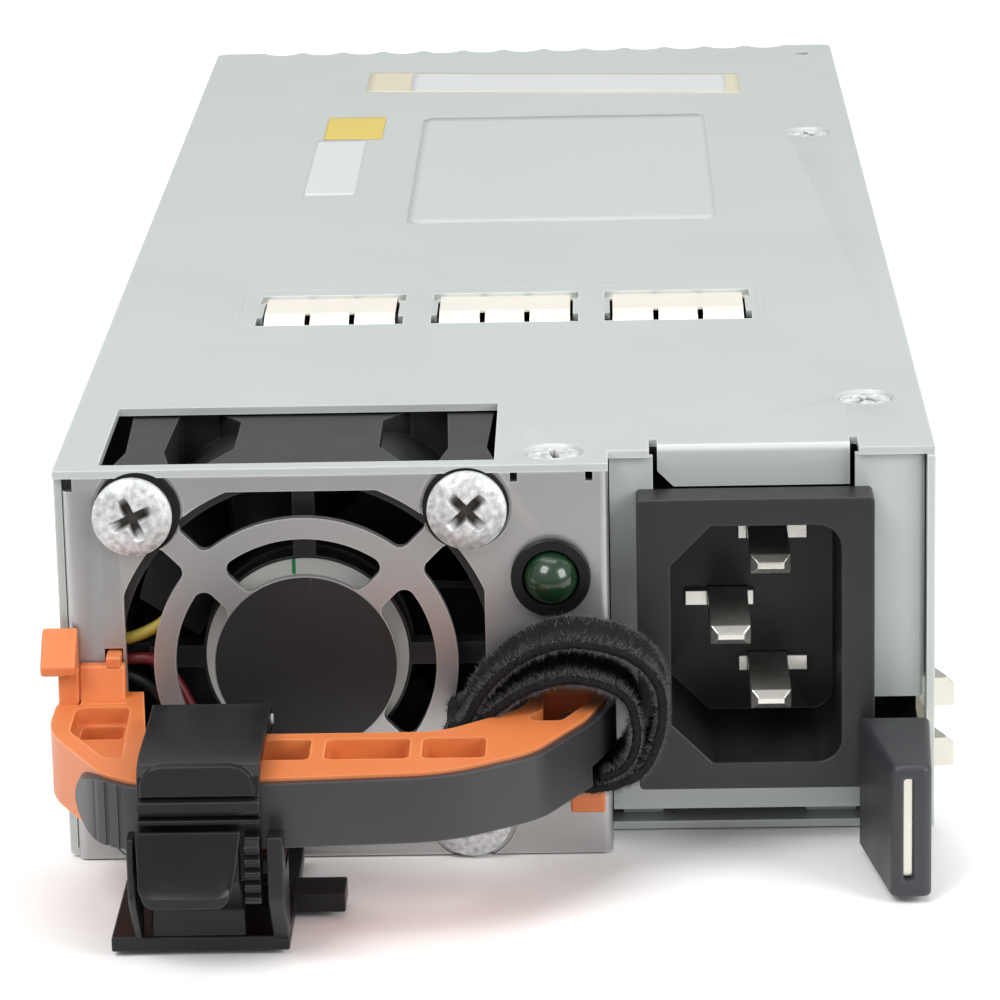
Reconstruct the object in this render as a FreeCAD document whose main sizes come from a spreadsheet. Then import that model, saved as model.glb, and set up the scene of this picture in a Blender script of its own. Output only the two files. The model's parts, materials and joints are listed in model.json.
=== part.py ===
"""Hot swap server power supply: a low sheet steel housing with a fan, a mains inlet and a pull handle
at the front, a card edge at the back, and the switching converter inside.

Millimetres. X runs across the housing, +Y from the front face to the card edge, +Z up. The origin is
the centre of the housing's underside. Pieces are drawn from the fan bracket's front face, y = 0, and
each one's Placement moves it forward by half the housing's length.
"""
import FreeCAD, Part
import Sketcher
import math
import os
from types import SimpleNamespace

SIZES = {
    # housing
    "housing_length": 217.0, "housing_width": 86.0, "housing_height": 40.0, "sheet": 0.8,
    "tray_front": 1.0, "cover_step": 4.6, "seam_gap": 0.1,
    "vent_pitch": 5.65, "vent_width": 4.6, "vent_height": 5.2, "scallop_radius": 2.5,
    "cover_flange": 6.0, "flap_width": 18.9, "flap_drop": 3.4, "flap_slot": 0.8,
    "cover_hole": 2.25, "cover_screw": 1.2, "screw_inset": 5.8,
    # fan
    "fan_size": 38.0, "fan_depth": 28.0, "fan_wall_gap": 5.15, "fan_pitch": 32.0, "fan_bore": 18.2,
    "fan_flange": 4.0, "fan_hole": 1.75, "hub_radius": 10.4, "shaft_radius": 1.0, "blade_count": 7,
    "blade_thickness": 0.9, "tip_gap": 0.6,
    # fan bracket and its guard
    "bracket_sheet": 1.0, "bracket_right": 11.0, "guard_radius": 19.1, "guard_flat": 17.65,
    "ring_outer": 14.95, "ring_inner": 12.8, "disc_radius": 9.0, "spoke_width": 2.6,
    "dimple_radius": 4.5, "dimple_depth": 0.35, "fan_screw_head": 3.9,
    # mains inlet
    "inlet_wall_gap": 17.7, "inlet_height": 21.0, "inlet_flange_width": 23.2,
    "inlet_flange_height": 29.8, "inlet_flange_depth": 4.2, "inlet_body_width": 19.6,
    "inlet_body_height": 26.6, "inlet_depth": 20.0, "cavity_width": 16.7, "cavity_height": 24.3,
    "cavity_depth": 16.6, "cavity_chamfer": 4.0, "pin_spacing": 14.0, "pin_offset": 4.0,
    "pin_width": 4.0, "pin_thickness": 2.0, "pin_recess": 3.6, "bracket_step": 5.2,
    # status light
    "light_x": 5.3, "light_height": 28.7, "light_radius": 2.6, "bezel_radius": 3.9,
    # release latch
    "leaf_thickness": 0.8, "leaf_height": 10.0, "leaf_bottom": 2.4, "leaf_pivot": 40.0,
    "tooth_reach": 3.0, "tooth_height": 2.9, "cap_reach": 15.2, "cap_height": 13.2, "cap_width": 6.9,
    # handle
    "handle_top": 17.5, "handle_thickness": 6.5, "bar_rear": 13.7, "bar_depth": 13.6,
    "band_thickness": 0.9, "arm_width": 7.6,
    # strap and clamp
    "strap_width": 8.4, "strap_thickness": 1.4, "clamp_plate": 1.5,
    "clamp_strap_width": 11.4, "clamp_strap_thickness": 1.0,
    # boards
    "board_thickness": 1.6, "board_height": 4.0, "board_start": 33.0, "tongue_width": 54.0,
    "tongue_reach": 9.5, "contact_pitch": 2.9, "contact_width": 1.9,
}

OUT = "parts"
doc = FreeCAD.newDocument("ServerPowerSupply")
sheet = doc.addObject("Spreadsheet::Sheet", "Sizes")


class Dim:
    """A length that knows its present value and the spreadsheet expression behind it."""

    def __init__(self, value, text):
        self.value = float(value)
        self.text = text

    def __add__(self, other):
        other = dim(other)
        return Dim(self.value + other.value, "(%s + %s)" % (self.text, other.text))

    def __sub__(self, other):
        other = dim(other)
        return Dim(self.value - other.value, "(%s - %s)" % (self.text, other.text))

    def __mul__(self, factor):
        factor = dim(factor)
        return Dim(self.value * factor.value, "(%s * %s)" % (self.text, factor.text))

    def __truediv__(self, divisor):
        return Dim(self.value / divisor, "(%s / %s)" % (self.text, divisor))

    def __radd__(self, other):
        return dim(other) + self

    def __rsub__(self, other):
        return dim(other) - self

    def __rmul__(self, other):
        return self * other

    def __neg__(self):
        return Dim(-self.value, "(0 - %s)" % self.text)

    def __float__(self):
        return self.value


def dim(number):
    """Give a plain number the same face as a length from the sheet."""
    if isinstance(number, Dim):
        return number
    return Dim(number, "%.6f" % number if number >= 0 else "(0 - %.6f)" % -number)


def fill_sheet():
    """Write every driving size to the sheet and return them as lengths."""
    lengths = {}
    for row, (name, value) in enumerate(SIZES.items(), start=1):
        sheet.set("A%d" % row, name)
        sheet.set("B%d" % row, str(value))
        sheet.setAlias("B%d" % row, name)
        lengths[name] = Dim(value, "Sizes." + name)
    doc.recompute()
    return SimpleNamespace(**lengths)


s = fill_sheet()

# Places that several pieces share
HALF_WIDTH = s.housing_width / 2
WALL_INSIDE = HALF_WIDTH - s.sheet
COVER_LOW = s.housing_height - s.sheet
FAN_X = s.fan_wall_gap + s.fan_size / 2 - HALF_WIDTH
FAN_Z = s.housing_height / 2
FAN_FRONT = s.bracket_sheet + s.seam_gap
FAN_BACK = FAN_FRONT + s.fan_depth
INLET_X = HALF_WIDTH - s.inlet_wall_gap
INLET_FRONT = s.bracket_step - s.inlet_flange_depth
CAVITY_FLOOR = INLET_FRONT + s.cavity_depth
LINE_PIN_X = INLET_X + s.pin_offset * 0.4
EARTH_PIN_X = LINE_PIN_X - s.pin_offset
BOARD_TOP = s.board_height + s.board_thickness
HANDLE_LOW = s.handle_top - s.handle_thickness
BAR_FRONT = s.bar_rear + s.bar_depth
SCREW_X = HALF_WIDTH - s.screw_inset
COVER_SCREWS = ((dim(5.7), dim(4.6)), (SCREW_X, dim(23.6)), (SCREW_X, dim(156.5)))
BRACKET_LEFT = s.seam_gap - WALL_INSIDE

VENT_COLUMNS, VENT_ROWS = 13, 3
VENT_BOTTOM, VENT_ROW_GAP = 16.5, 1.6
TOOTH_WINDOW_START, TOOTH_WINDOW_END, TOOTH_CLEARANCE = 5.4, 16.0, 0.5
NUT_TAB_REACH, NUT_TAB_HALF = 3.2, 4
TONGUE_CLEARANCE = 1.5

pieces = []
start_of = {}


def vent_columns():
    """Middles of the vent columns across the housing."""
    return [(column - (VENT_COLUMNS - 1) // 2) * s.vent_pitch for column in range(VENT_COLUMNS)]


# ---- helpers: bodies, sketches, pads and cuts ----

def bind(thing, path, length):
    """Tie one property of an object to a length."""
    thing.setExpression(path, dim(length).text)


def new_body(label):
    """Start a part design body."""
    body = doc.addObject("PartDesign::Body", label)
    body.Label = label
    return body


PLANES = {"top": "XY_Plane", "front": "XZ_Plane", "side": "YZ_Plane"}


def new_sketch(body, view, at):
    """Lay a sketch on one of the body's own planes, at the given place along +Z, +Y or +X."""
    sketch = body.newObject("Sketcher::SketchObject", "Sketch")
    for plane in body.Origin.OriginFeatures:
        if plane.Role == PLANES[view]:
            sketch.AttachmentSupport = [(plane, "")]
    sketch.MapMode = "FlatFace"
    bind(sketch, "AttachmentOffset.Base.z", -dim(at) if view == "front" else at)
    return sketch


def draw_polygon(sketch, corners):
    """Draw a closed outline whose corners are tied to lengths."""
    spots = [FreeCAD.Vector(float(dim(a)), float(dim(b)), 0) for a, b in corners]
    first = sketch.GeometryCount
    count = len(corners)
    for i in range(count):
        sketch.addGeometry(Part.LineSegment(spots[i], spots[(i + 1) % count]))
    for i in range(count):
        sketch.addConstraint(Sketcher.Constraint("Coincident", first + i, 2, first + (i + 1) % count, 1))
    for i, (a, b) in enumerate(corners):
        for kind, length in (("DistanceX", a), ("DistanceY", b)):
            tie = sketch.addConstraint(Sketcher.Constraint(kind, first + i, 1, float(dim(length))))
            bind(sketch, "Constraints[%d]" % tie, length)


def draw_circle(sketch, x, y, radius):
    """Draw a circle whose centre and radius are tied to lengths."""
    centre = FreeCAD.Vector(float(dim(x)), float(dim(y)), 0)
    index = sketch.addGeometry(Part.Circle(centre, FreeCAD.Vector(0, 0, 1), float(dim(radius))))
    for kind, length in (("DistanceX", x), ("DistanceY", y)):
        tie = sketch.addConstraint(Sketcher.Constraint(kind, index, 3, float(dim(length))))
        bind(sketch, "Constraints[%d]" % tie, length)
    tie = sketch.addConstraint(Sketcher.Constraint("Radius", index, float(dim(radius))))
    bind(sketch, "Constraints[%d]" % tie, radius)


def rectangle(x0, y0, x1, y1):
    """Corners of an upright rectangle."""
    return [(x0, y0), (x1, y0), (x1, y1), (x0, y1)]


def draw(body, view, at, outlines):
    """Draw polygons, given as corner lists, and circles, given as (x, y, radius), in one sketch."""
    sketch = new_sketch(body, view, at)
    for outline in outlines:
        if isinstance(outline, list):
            draw_polygon(sketch, outline)
        else:
            draw_circle(sketch, *outline)
    return sketch


def pad(body, view, at, outlines, length):
    """Add material from the sketch plane in the plus direction."""
    sketch = draw(body, view, at, outlines)
    feature = body.newObject("PartDesign::Pad", "Pad")
    feature.Profile = sketch
    feature.Reversed = view == "front"
    bind(feature, "Length", length)
    sketch.Visibility = False
    doc.recompute()
    return feature


def cut(body, view, at, outlines, length):
    """Remove material from the sketch plane in the plus direction, and make sure that some went."""
    before = body.Tip.Shape.Volume
    sketch = draw(body, view, at, outlines)
    feature = body.newObject("PartDesign::Pocket", "Pocket")
    feature.Profile = sketch
    feature.Reversed = view != "front"
    bind(feature, "Length", length)
    doc.recompute()
    if feature.Shape.Volume > before - 1e-6:
        raise RuntimeError("a pocket in %s cuts nothing" % body.Label)
    return feature


def edges_where(shape, test):
    """Names of the shape's edges that pass a test on their middle point and direction."""
    names = []
    for number, edge in enumerate(shape.Edges, start=1):
        first, last = edge.FirstParameter, edge.LastParameter
        middle = edge.valueAt((first + last) / 2)
        chord = edge.valueAt(last) - edge.valueAt(first)
        if chord.Length > 1e-6:
            chord.normalize()
        if test(middle, chord, edge):
            names.append("Edge%d" % number)
    return names


def round_edges(body, radius, test, kind="Fillet"):
    """Round or chamfer the edges that pass the test."""
    base = body.Tip
    names = edges_where(base.Shape, test)
    if not names:
        raise RuntimeError("no edge to round in %s" % body.Label)
    feature = body.newObject("PartDesign::" + kind, kind)
    feature.Base = (base, names)
    bind(feature, "Radius" if kind == "Fillet" else "Size", radius)
    doc.recompute()
    return feature


def along(chord, axis):
    """Say whether a direction runs along an axis, 0 to 2 for X to Z."""
    return abs(abs(chord[axis]) - 1) < 1e-6


def close(a, b, slack=0.02):
    """Say whether two places agree."""
    return abs(float(dim(a)) - float(dim(b))) < slack


def finish(thing, label):
    """Name a finished piece and move it forward by half the housing's length."""
    thing.Label = label
    bind(thing, "Placement.Base.y", dim(start_of.get(thing.Name, 0)) - s.housing_length / 2)
    pieces.append(thing)
    return thing


# ---- helpers: primitives and booleans ----

def box(x, y, z, dx, dy, dz):
    """A block from its low corner and its three lengths."""
    block = doc.addObject("Part::Box", "Box")
    for path, length in (("Length", dx), ("Width", dy), ("Height", dz)):
        bind(block, path, length)
    for axis, place in zip("xyz", (x, y, z)):
        bind(block, "Placement.Base." + axis, place)
    start_of[block.Name] = y
    return block


TURNS = {"x": ((0, 1, 0), 90), "y": ((1, 0, 0), -90), "z": ((0, 0, 1), 0)}


def rod(axis, x, y, z, radius, length, top_radius=None):
    """A cylinder, or a cone if it has a second radius, that runs in the plus direction of an axis."""
    if top_radius is None:
        shape = doc.addObject("Part::Cylinder", "Cylinder")
        bind(shape, "Radius", radius)
    else:
        shape = doc.addObject("Part::Cone", "Cone")
        bind(shape, "Radius1", radius)
        bind(shape, "Radius2", top_radius)
    bind(shape, "Height", length)
    direction, angle = TURNS[axis]
    shape.Placement.Rotation = FreeCAD.Rotation(FreeCAD.Vector(*direction), angle)
    for letter, place in zip("xyz", (x, y, z)):
        bind(shape, "Placement.Base." + letter, place)
    start_of[shape.Name] = y
    return shape


def fuse(shapes):
    """Join shapes that touch or overlap."""
    joined = doc.addObject("Part::MultiFuse", "Fuse")
    joined.Shapes = shapes
    joined.Refine = True
    return joined


def minus(base, *tools):
    """Cut tools out of a shape."""
    result = doc.addObject("Part::Cut", "Cut")
    result.Base = base
    result.Tool = tools[0] if len(tools) == 1 else fuse(list(tools))
    result.Refine = True
    return result


def group(shapes):
    """Keep separate solids together as one node."""
    bundle = doc.addObject("Part::Compound", "Group")
    bundle.Links = shapes
    return bundle


def drawn(shape):
    """Keep a shape made with Part's own functions as an object of the document."""
    feature = doc.addObject("Part::Feature", "Drawn")
    feature.Shape = shape
    return feature


def spot(x, y, z=0.0):
    """A point from lengths or numbers."""
    return FreeCAD.Vector(float(dim(x)), float(dim(y)), float(dim(z)))


def bend(before, corner, after, radius):
    """The tangent arc of a radius at a corner, limited to what its two runs can hold."""
    back = before - corner
    ahead = after - corner
    turn = math.pi - back.getAngle(ahead)
    reach = min(radius * math.tan(turn / 2), 0.48 * min(back.Length, ahead.Length))
    radius = reach / math.tan(turn / 2)
    back.normalize()
    ahead.normalize()
    start = corner + back * reach
    end = corner + ahead * reach
    inward = back + ahead
    inward.normalize()
    centre = corner + inward * (radius / math.cos(turn / 2))
    middle = centre - inward * radius
    return start, middle, end, radius


def rounded_wire(points, radii, closed):
    """Straight runs joined by tangent arcs through a list of corners."""
    count = len(points)
    corners = range(count) if closed else range(1, count - 1)
    arcs = {}
    for i in corners:
        if radii[i] > 0:
            arcs[i] = bend(points[i - 1], points[i], points[(i + 1) % count], radii[i])
    edges = []
    for i in range(count if closed else count - 1):
        j = (i + 1) % count
        start = arcs[i][2] if i in arcs else points[i]
        end = arcs[j][0] if j in arcs else points[j]
        if (end - start).Length > 1e-6:
            edges.append(Part.LineSegment(start, end).toShape())
        if j in arcs:
            edges.append(Part.Arc(*arcs[j][:3]).toShape())
    return Part.Wire(edges)


def prism(points, radii, direction):
    """A solid swept straight from a closed outline with rounded corners."""
    wire = rounded_wire(points, radii, True)
    return Part.Face(wire).extrude(direction)


def tube(points, radii, radius):
    """A round lead along a path of straight runs and tangent arcs."""
    path = rounded_wire(points, radii, False)
    start = path.Edges[0]
    ring = Part.Circle(start.valueAt(start.FirstParameter), start.tangentAt(start.FirstParameter), radius)
    profile = Part.Wire([ring.toShape()])
    solid = path.makePipeShell([profile], True, False)
    expected = math.pi * radius ** 2 * path.Length
    if abs(solid.Volume - expected) > 0.02 * expected:
        raise RuntimeError("a lead's volume is off its section times its length")
    return solid


# ---- housing ----

def nut_tab(x, y):
    """A tab bent in from the right wall, with a hole for a cover screw."""
    return rectangle(x - NUT_TAB_REACH, y - NUT_TAB_HALF, WALL_INSIDE, y + NUT_TAB_HALF)


def bottom_tray():
    """Floor, side walls and vented back wall, folded from one sheet."""
    body = new_body("bottom_tray")
    top = COVER_LOW
    section = [(-HALF_WIDTH, 0), (HALF_WIDTH, 0), (HALF_WIDTH, top), (WALL_INSIDE, top),
               (WALL_INSIDE, s.sheet), (-WALL_INSIDE, s.sheet), (-WALL_INSIDE, top), (-HALF_WIDTH, top)]
    pad(body, "front", s.tray_front, [section], s.housing_length - s.tray_front)
    back = s.housing_length - s.sheet
    pad(body, "front", back, [rectangle(-HALF_WIDTH, 0, HALF_WIDTH, top)], s.sheet)
    for x, y in COVER_SCREWS[1:]:
        pad(body, "top", COVER_LOW - s.sheet, [nut_tab(x, y)], s.sheet)
        cut(body, "top", COVER_LOW - s.sheet - 1, [(x, y, s.cover_hole)], s.sheet + 2)
    # the floor and the right wall stop short beside the recessed inlet
    side = s.bracket_right + s.seam_gap
    cut(body, "top", -1, [rectangle(side, 0, HALF_WIDTH + 1, s.bracket_step + 1.4)], s.sheet + 1)
    cut(body, "side", WALL_INSIDE - 0.5, [rectangle(0, -1, s.cover_step - 0.6, top + 1)], s.sheet + 1)
    # two windows in the right wall let the latch teeth out
    low, high = TOOTH_LOWS
    windows = [rectangle(TOOTH_WINDOW_START, z - TOOTH_CLEARANCE, TOOTH_WINDOW_END,
                         z + s.tooth_height + TOOTH_CLEARANCE) for z in (low, high)]
    cut(body, "side", WALL_INSIDE - 0.5, windows, s.sheet + 1)
    for z in RIVET_HEIGHTS:
        cut(body, "side", WALL_INSIDE - 0.5, [(LATCH_RIVET_Y, z, 1.6)], s.sheet + 1)
    # vent slots and the card edge opening in the back wall
    slots = []
    for x in vent_columns():
        for row in range(VENT_ROWS):
            z = VENT_BOTTOM + row * (s.vent_height + VENT_ROW_GAP)
            slots.append(rectangle(x - s.vent_width / 2, z, x + s.vent_width / 2, z + s.vent_height))
    cut(body, "front", back - 0.5, slots, s.sheet + 1)
    half = s.tongue_width / 2 + TONGUE_CLEARANCE
    cut(body, "front", back - 0.5, [rectangle(-half, s.board_height - 2, half, BOARD_TOP + 2.4)],
        s.sheet + 1)
    round_edges(body, 0.7, lambda m, d, e: along(d, 1) and close(m.z, 0) and close(abs(m.x), HALF_WIDTH))
    return finish(body, "bottom_tray")


def top_cover():
    """Flat lid with a fan window, windows for the spring contacts and a flap over the inlet."""
    body = new_body("top_cover")
    step_x = s.bracket_right
    left, right = INLET_X - s.flap_width / 2, INLET_X + s.flap_width / 2
    step, flap_y = s.cover_step, s.bracket_step + s.sheet + 0.2
    slot_end = step + 4
    outline = [(-HALF_WIDTH, 0), (step_x, 0), (step_x, step), (left - s.flap_slot, step),
               (left - s.flap_slot, slot_end), (left, slot_end), (left, flap_y), (right, flap_y),
               (right, slot_end), (right + s.flap_slot, slot_end), (right + s.flap_slot, step),
               (HALF_WIDTH, step), (HALF_WIDTH, s.housing_length), (-HALF_WIDTH, s.housing_length)]
    pad(body, "top", COVER_LOW, [outline], s.sheet)
    flap = [(left + 1.6, COVER_LOW - s.flap_drop), (right, COVER_LOW - s.flap_drop),
            (right, s.housing_height), (left, s.housing_height), (left, COVER_LOW - s.flap_drop + 1.6)]
    pad(body, "front", flap_y, [flap], s.sheet)
    round_edges(body, 0.75, lambda m, d, e: along(d, 0) and close(m.y, flap_y)
                and close(m.z, s.housing_height))
    for start, end in ((dim(45), s.housing_length * 0.66), (s.housing_length * 0.76, s.housing_length - 6)):
        strips = []
        for x0, x1 in ((s.seam_gap - WALL_INSIDE, s.seam_gap + s.sheet - WALL_INSIDE),
                       (WALL_INSIDE - s.seam_gap - s.sheet, WALL_INSIDE - s.seam_gap)):
            strips.append(rectangle(x0, start, x1, end))
        pad(body, "top", COVER_LOW - s.cover_flange, strips, s.cover_flange)
    window = rectangle(FAN_X - s.fan_size / 2 - 0.8, 2.0, FAN_X + s.fan_size / 2 - 0.2, 23.4)
    cut(body, "top", COVER_LOW - 1, [window], s.sheet + 2)
    for centre in PAD_GROUPS:
        half = PAD_PITCH * 1.5 + 0.15
        wide, start, end = half + 0.6, PAD_START + SLIT_LENGTH, PAD_END - SLIT_LENGTH
        window = [(centre - wide, PAD_START), (centre + wide, PAD_START), (centre + wide, start),
                  (centre + half, start), (centre + half, end), (centre + wide, end),
                  (centre + wide, PAD_END), (centre - wide, PAD_END), (centre - wide, end),
                  (centre - half, end), (centre - half, start), (centre - wide, start)]
        cut(body, "top", COVER_LOW - 1, [window], s.sheet + 2)
    for x, y in COVER_SCREWS:
        cut(body, "top", COVER_LOW - 1, [(x, y, s.cover_hole)], s.sheet + 2)
        round_edges(body, s.sheet - 0.05, lambda m, d, e, x=x, y=y: close(m.z, s.housing_height)
                    and is_ring(e, x, y, s.cover_hole), "Chamfer")
    scallops = [(x, s.housing_length + 0.8, s.scallop_radius) for x in vent_columns()]
    cut(body, "top", COVER_LOW - 1, scallops, s.sheet + 2)
    cut(body, "top", COVER_LOW - 1, [(HALF_WIDTH - 4.2, s.housing_length - 6.5, 1.0)], s.sheet + 2)
    round_edges(body, 1.6, lambda m, d, e: along(d, 2) and close(m.y, s.housing_length)
                and close(abs(m.x), HALF_WIDTH))
    return finish(body, "top_cover")


def is_ring(edge, x, y, radius):
    """Say whether an edge is a full circle about an upright axis at (x, y)."""
    curve = edge.Curve
    if not hasattr(curve, "Radius"):
        return False
    centre = curve.Center
    return close(centre.x, x) and close(centre.y, y) and close(curve.Radius, radius)


PAD_PITCH = dim(4.85)
PAD_START, PAD_END = dim(57.6), dim(71.2)
SLIT_LENGTH = 3.6
PAD_GROUPS = (dim(-19.1), dim(0), dim(18.9))
LATCH_RIVET_Y = s.leaf_pivot + 5.5
RIVET_HEIGHTS = (s.leaf_bottom + 2.2, s.leaf_bottom + s.leaf_height - 2.2)
TOOTH_LOWS = (dim(6.3), dim(12.6))
LEAF_X = WALL_INSIDE - s.seam_gap - s.leaf_thickness


def contact_strip():
    """Grounding strip under the cover, whose arched fingers stand out through the windows."""
    body = new_body("contact_strip")
    foil = 0.25
    rise = COVER_LOW + s.sheet + 0.45
    base = COVER_LOW - foil
    edge = PAD_GROUPS[2] + PAD_PITCH * 1.5 + 2
    rails = [rectangle(-edge, PAD_START - 3, edge, PAD_START + 0.4),
             rectangle(-edge, PAD_END - 0.4, edge, PAD_END + 3)]
    pad(body, "top", base, rails[:1], foil)
    start, end = PAD_START + 0.15, PAD_END - 0.15
    low, mid = COVER_LOW, COVER_LOW + s.sheet
    arch = [(start, base), (start + 0.5, base), (start + 1.5, mid - foil), (start + 3.5, rise - foil),
            (end - 3.5, rise - foil), (end - 1.5, mid - foil), (end - 0.5, base), (end, base),
            (end, low), (end - 0.4, low), (end - 1.5, mid), (end - 3.5, rise), (start + 3.5, rise),
            (start + 1.5, mid), (start + 0.4, low), (start, low)]
    for centre in PAD_GROUPS:
        pad(body, "side", centre - PAD_PITCH * 1.5 + 0.15, [arch], PAD_PITCH * 3 - 0.3)
    pad(body, "top", base, rails[1:], foil)
    slits = []
    for centre in PAD_GROUPS:
        for x in (centre - PAD_PITCH / 2, centre + PAD_PITCH / 2):
            slits.append(rectangle(x - 0.3, PAD_START + 0.6, x + 0.3, PAD_START + SLIT_LENGTH))
            slits.append(rectangle(x - 0.3, PAD_END - SLIT_LENGTH, x + 0.3, PAD_END - 0.6))
    cut(body, "top", base - 0.5, slits, 3)
    return finish(body, "contact_strip")


def cover_screws():
    """Countersunk screws through the cover into clinch nuts."""
    screws = []
    for x, y in COVER_SCREWS:
        top = s.housing_height - 0.15
        head = rod("z", x, y, top - 1.6, s.cover_screw, 1.6, s.cover_screw + 1.6)
        shank = rod("z", x, y, top - 5.6, s.cover_screw, 4.2)
        slot_a = box(x - 1.3, y - 0.3, top - 0.7, 2.6, 0.6, 1)
        slot_b = box(x - 0.3, y - 1.3, top - 0.7, 0.6, 2.6, 1)
        screws.append(minus(fuse([head, shank]), slot_a, slot_b))
    return finish(group(screws), "cover_screws")


def clinch_nuts():
    """Threaded bushes pressed under the tabs that take the cover screws."""
    nuts = []
    for tab, (x, y) in zip((s.bracket_sheet, s.sheet, s.sheet), COVER_SCREWS):
        top = COVER_LOW - tab
        ring = rod("z", x, y, top - 3, s.cover_hole + 0.6, 3)
        bore = rod("z", x, y, top - 4, s.cover_screw + 0.05, 5)
        sink = rod("z", x, y, top - 0.6, s.cover_screw + 0.05, 0.7, s.cover_screw + 0.8)
        nuts.append(minus(ring, bore, sink))
    return finish(group(nuts), "clinch_nuts")


def fan_bracket():
    """Front plate with the finger guard pressed out of it, and flanges bent back at its edges."""
    body = new_body("fan_bracket")
    t, right = s.bracket_sheet, s.bracket_right
    left, top = BRACKET_LEFT, COVER_LOW
    plate = [(left, 0), (right, 0), (right, top), (9.5, top), (9.5, top - 0.9), (8.8, top - 0.9),
             (8.8, top), (2.2, top), (2.2, top - 0.9), (1.5, top - 0.9), (1.5, top),
             (left + 1, top), (left + 1, top - 1.3), (left, top - 1.3)]
    pad(body, "front", 0, [plate], t)
    pad(body, "front", t, [rectangle(left, 1.5, left + t, top - 2)], 10)
    pad(body, "front", t, [rectangle(right - t, 1.5, right, top - 0.1)], 14)
    pad(body, "front", t, [rectangle(2.2, top - t, 8.8, top)], 8)
    pad(body, "front", t, [rectangle(1.5, s.sheet, right - t, s.sheet + t)], 5)
    x, z = FAN_X, FAN_Z
    cut(body, "front", -0.5, [(x, z, s.guard_radius)], t + 1)
    flat, wide, past = s.guard_flat, dim(8.6), s.guard_radius + 0.6
    for corners in (rectangle(x - wide, z + flat, x + wide, top),
                    rectangle(x - wide, z - past, x + wide, z - flat),
                    rectangle(x - past, z - wide, x - flat, z + wide),
                    rectangle(x + flat, z - wide, x + past, z + wide)):
        pad(body, "front", 0, [corners], t)
    pad(body, "front", 0, [(x, z, s.ring_outer), (x, z, s.ring_inner)], t)
    pad(body, "front", 0, [(x, z, s.disc_radius)], t)
    slant = s.spoke_width / 2 / math.sqrt(2)
    inner, outer = s.disc_radius * 0.65, s.guard_radius * 0.76
    spoke = [(inner - slant, inner + slant), (inner + slant, inner - slant),
             (outer + slant, outer - slant), (outer - slant, outer + slant)]
    for sx, sz in CORNERS:
        pad(body, "front", 0, [[(x + sx * a, z + sz * b) for a, b in spoke]], t)
    mid = FreeCAD.Vector(float(x), 0, float(z))
    reach = float(s.guard_radius) + 0.5

    def slot_corner(m, d, e):
        away = math.hypot(m.x - mid.x, m.z - mid.z)
        return along(d, 1) and float(s.disc_radius) - 0.5 < away < reach and abs(m.y - 0.5) < 0.3

    round_edges(body, 1.1, slot_corner)
    for sx, sz in CORNERS:
        cx, cz = x + sx * s.fan_pitch / 2, z + sz * s.fan_pitch / 2
        cut(body, "front", -0.5, [(cx, cz, s.dimple_radius)], s.dimple_depth + 0.5)
        cut(body, "front", -0.5, [(cx, cz, s.fan_hole + 0.2)], t + 1)
    cut(body, "front", -0.5, [(s.light_x, s.light_height, s.bezel_radius - 0.75)], t + 1)
    cut(body, "front", -0.5, [rectangle(*TAB_SLOT)], t + 1)
    for hx, hz in HANDLE_SCREWS:
        cut(body, "front", -0.5, [(hx, hz, 1.2)], t + 1)
    cut(body, "top", COVER_LOW - t - 1, [(*COVER_SCREWS[0], s.cover_hole)], t + 2)
    round_edges(body, t * 0.9, lambda m, d, e: along(d, 2) and close(m.y, 0)
                and (close(m.x, left) or close(m.x, right)))
    return finish(body, "fan_bracket")


CORNERS = ((-1, -1), (1, -1), (-1, 1), (1, 1))
TAB_SLOT = (dim(-38.6), dim(20.4), dim(-36.8), dim(21.9))
HANDLE_SCREWS = ((s.bracket_right - 4.2, HANDLE_LOW + 3.4),)


def inlet_bracket():
    """Recessed plate with a tall notch that holds the mains inlet."""
    body = new_body("inlet_bracket")
    t, y = s.sheet, s.bracket_step
    left, right = s.bracket_right + s.seam_gap, WALL_INSIDE - s.seam_gap
    notch_l = INLET_X - s.inlet_body_width / 2 - 0.1
    notch_r = INLET_X + s.inlet_body_width / 2 + 0.1
    floor = s.inlet_height - s.inlet_body_height / 2 - 0.1
    low = dim(2.6)
    latch_top, latch_left = s.cap_height + 0.9, HALF_WIDTH - s.cap_width + 0.4
    plate = [(left, low), (latch_left, low), (latch_left, latch_top), (right, latch_top),
             (right, COVER_LOW), (notch_r, COVER_LOW), (notch_r, floor), (notch_l, floor),
             (notch_l, COVER_LOW), (left, COVER_LOW)]
    pad(body, "front", y, [plate], t)
    pad(body, "front", y + t, [rectangle(right - t, latch_top + 3.4, right, COVER_LOW - 2)], 10)
    pad(body, "front", y + t, [rectangle(left, low, latch_left, low + t)], 7)
    pad(body, "top", s.sheet, [rectangle(left + 1, y + 4, left + 5, y + 7.5),
                               rectangle(latch_left - 6, y + 4, latch_left - 1, y + 7.5)], low - s.sheet)
    round_edges(body, t * 0.9, lambda m, d, e: along(d, 2) and close(m.y, y) and close(m.x, right))
    return finish(body, "inlet_bracket")


# ---- mains inlet ----

def cavity_outline(x, z, half_w, half_h, chamfer):
    """Keyed opening with two corners cut off on its left."""
    return [(x + half_w, z - half_h), (x + half_w, z + half_h), (x - half_w + chamfer, z + half_h),
            (x - half_w, z + half_h - chamfer), (x - half_w, z - half_h + chamfer),
            (x - half_w + chamfer, z - half_h)]


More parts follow.
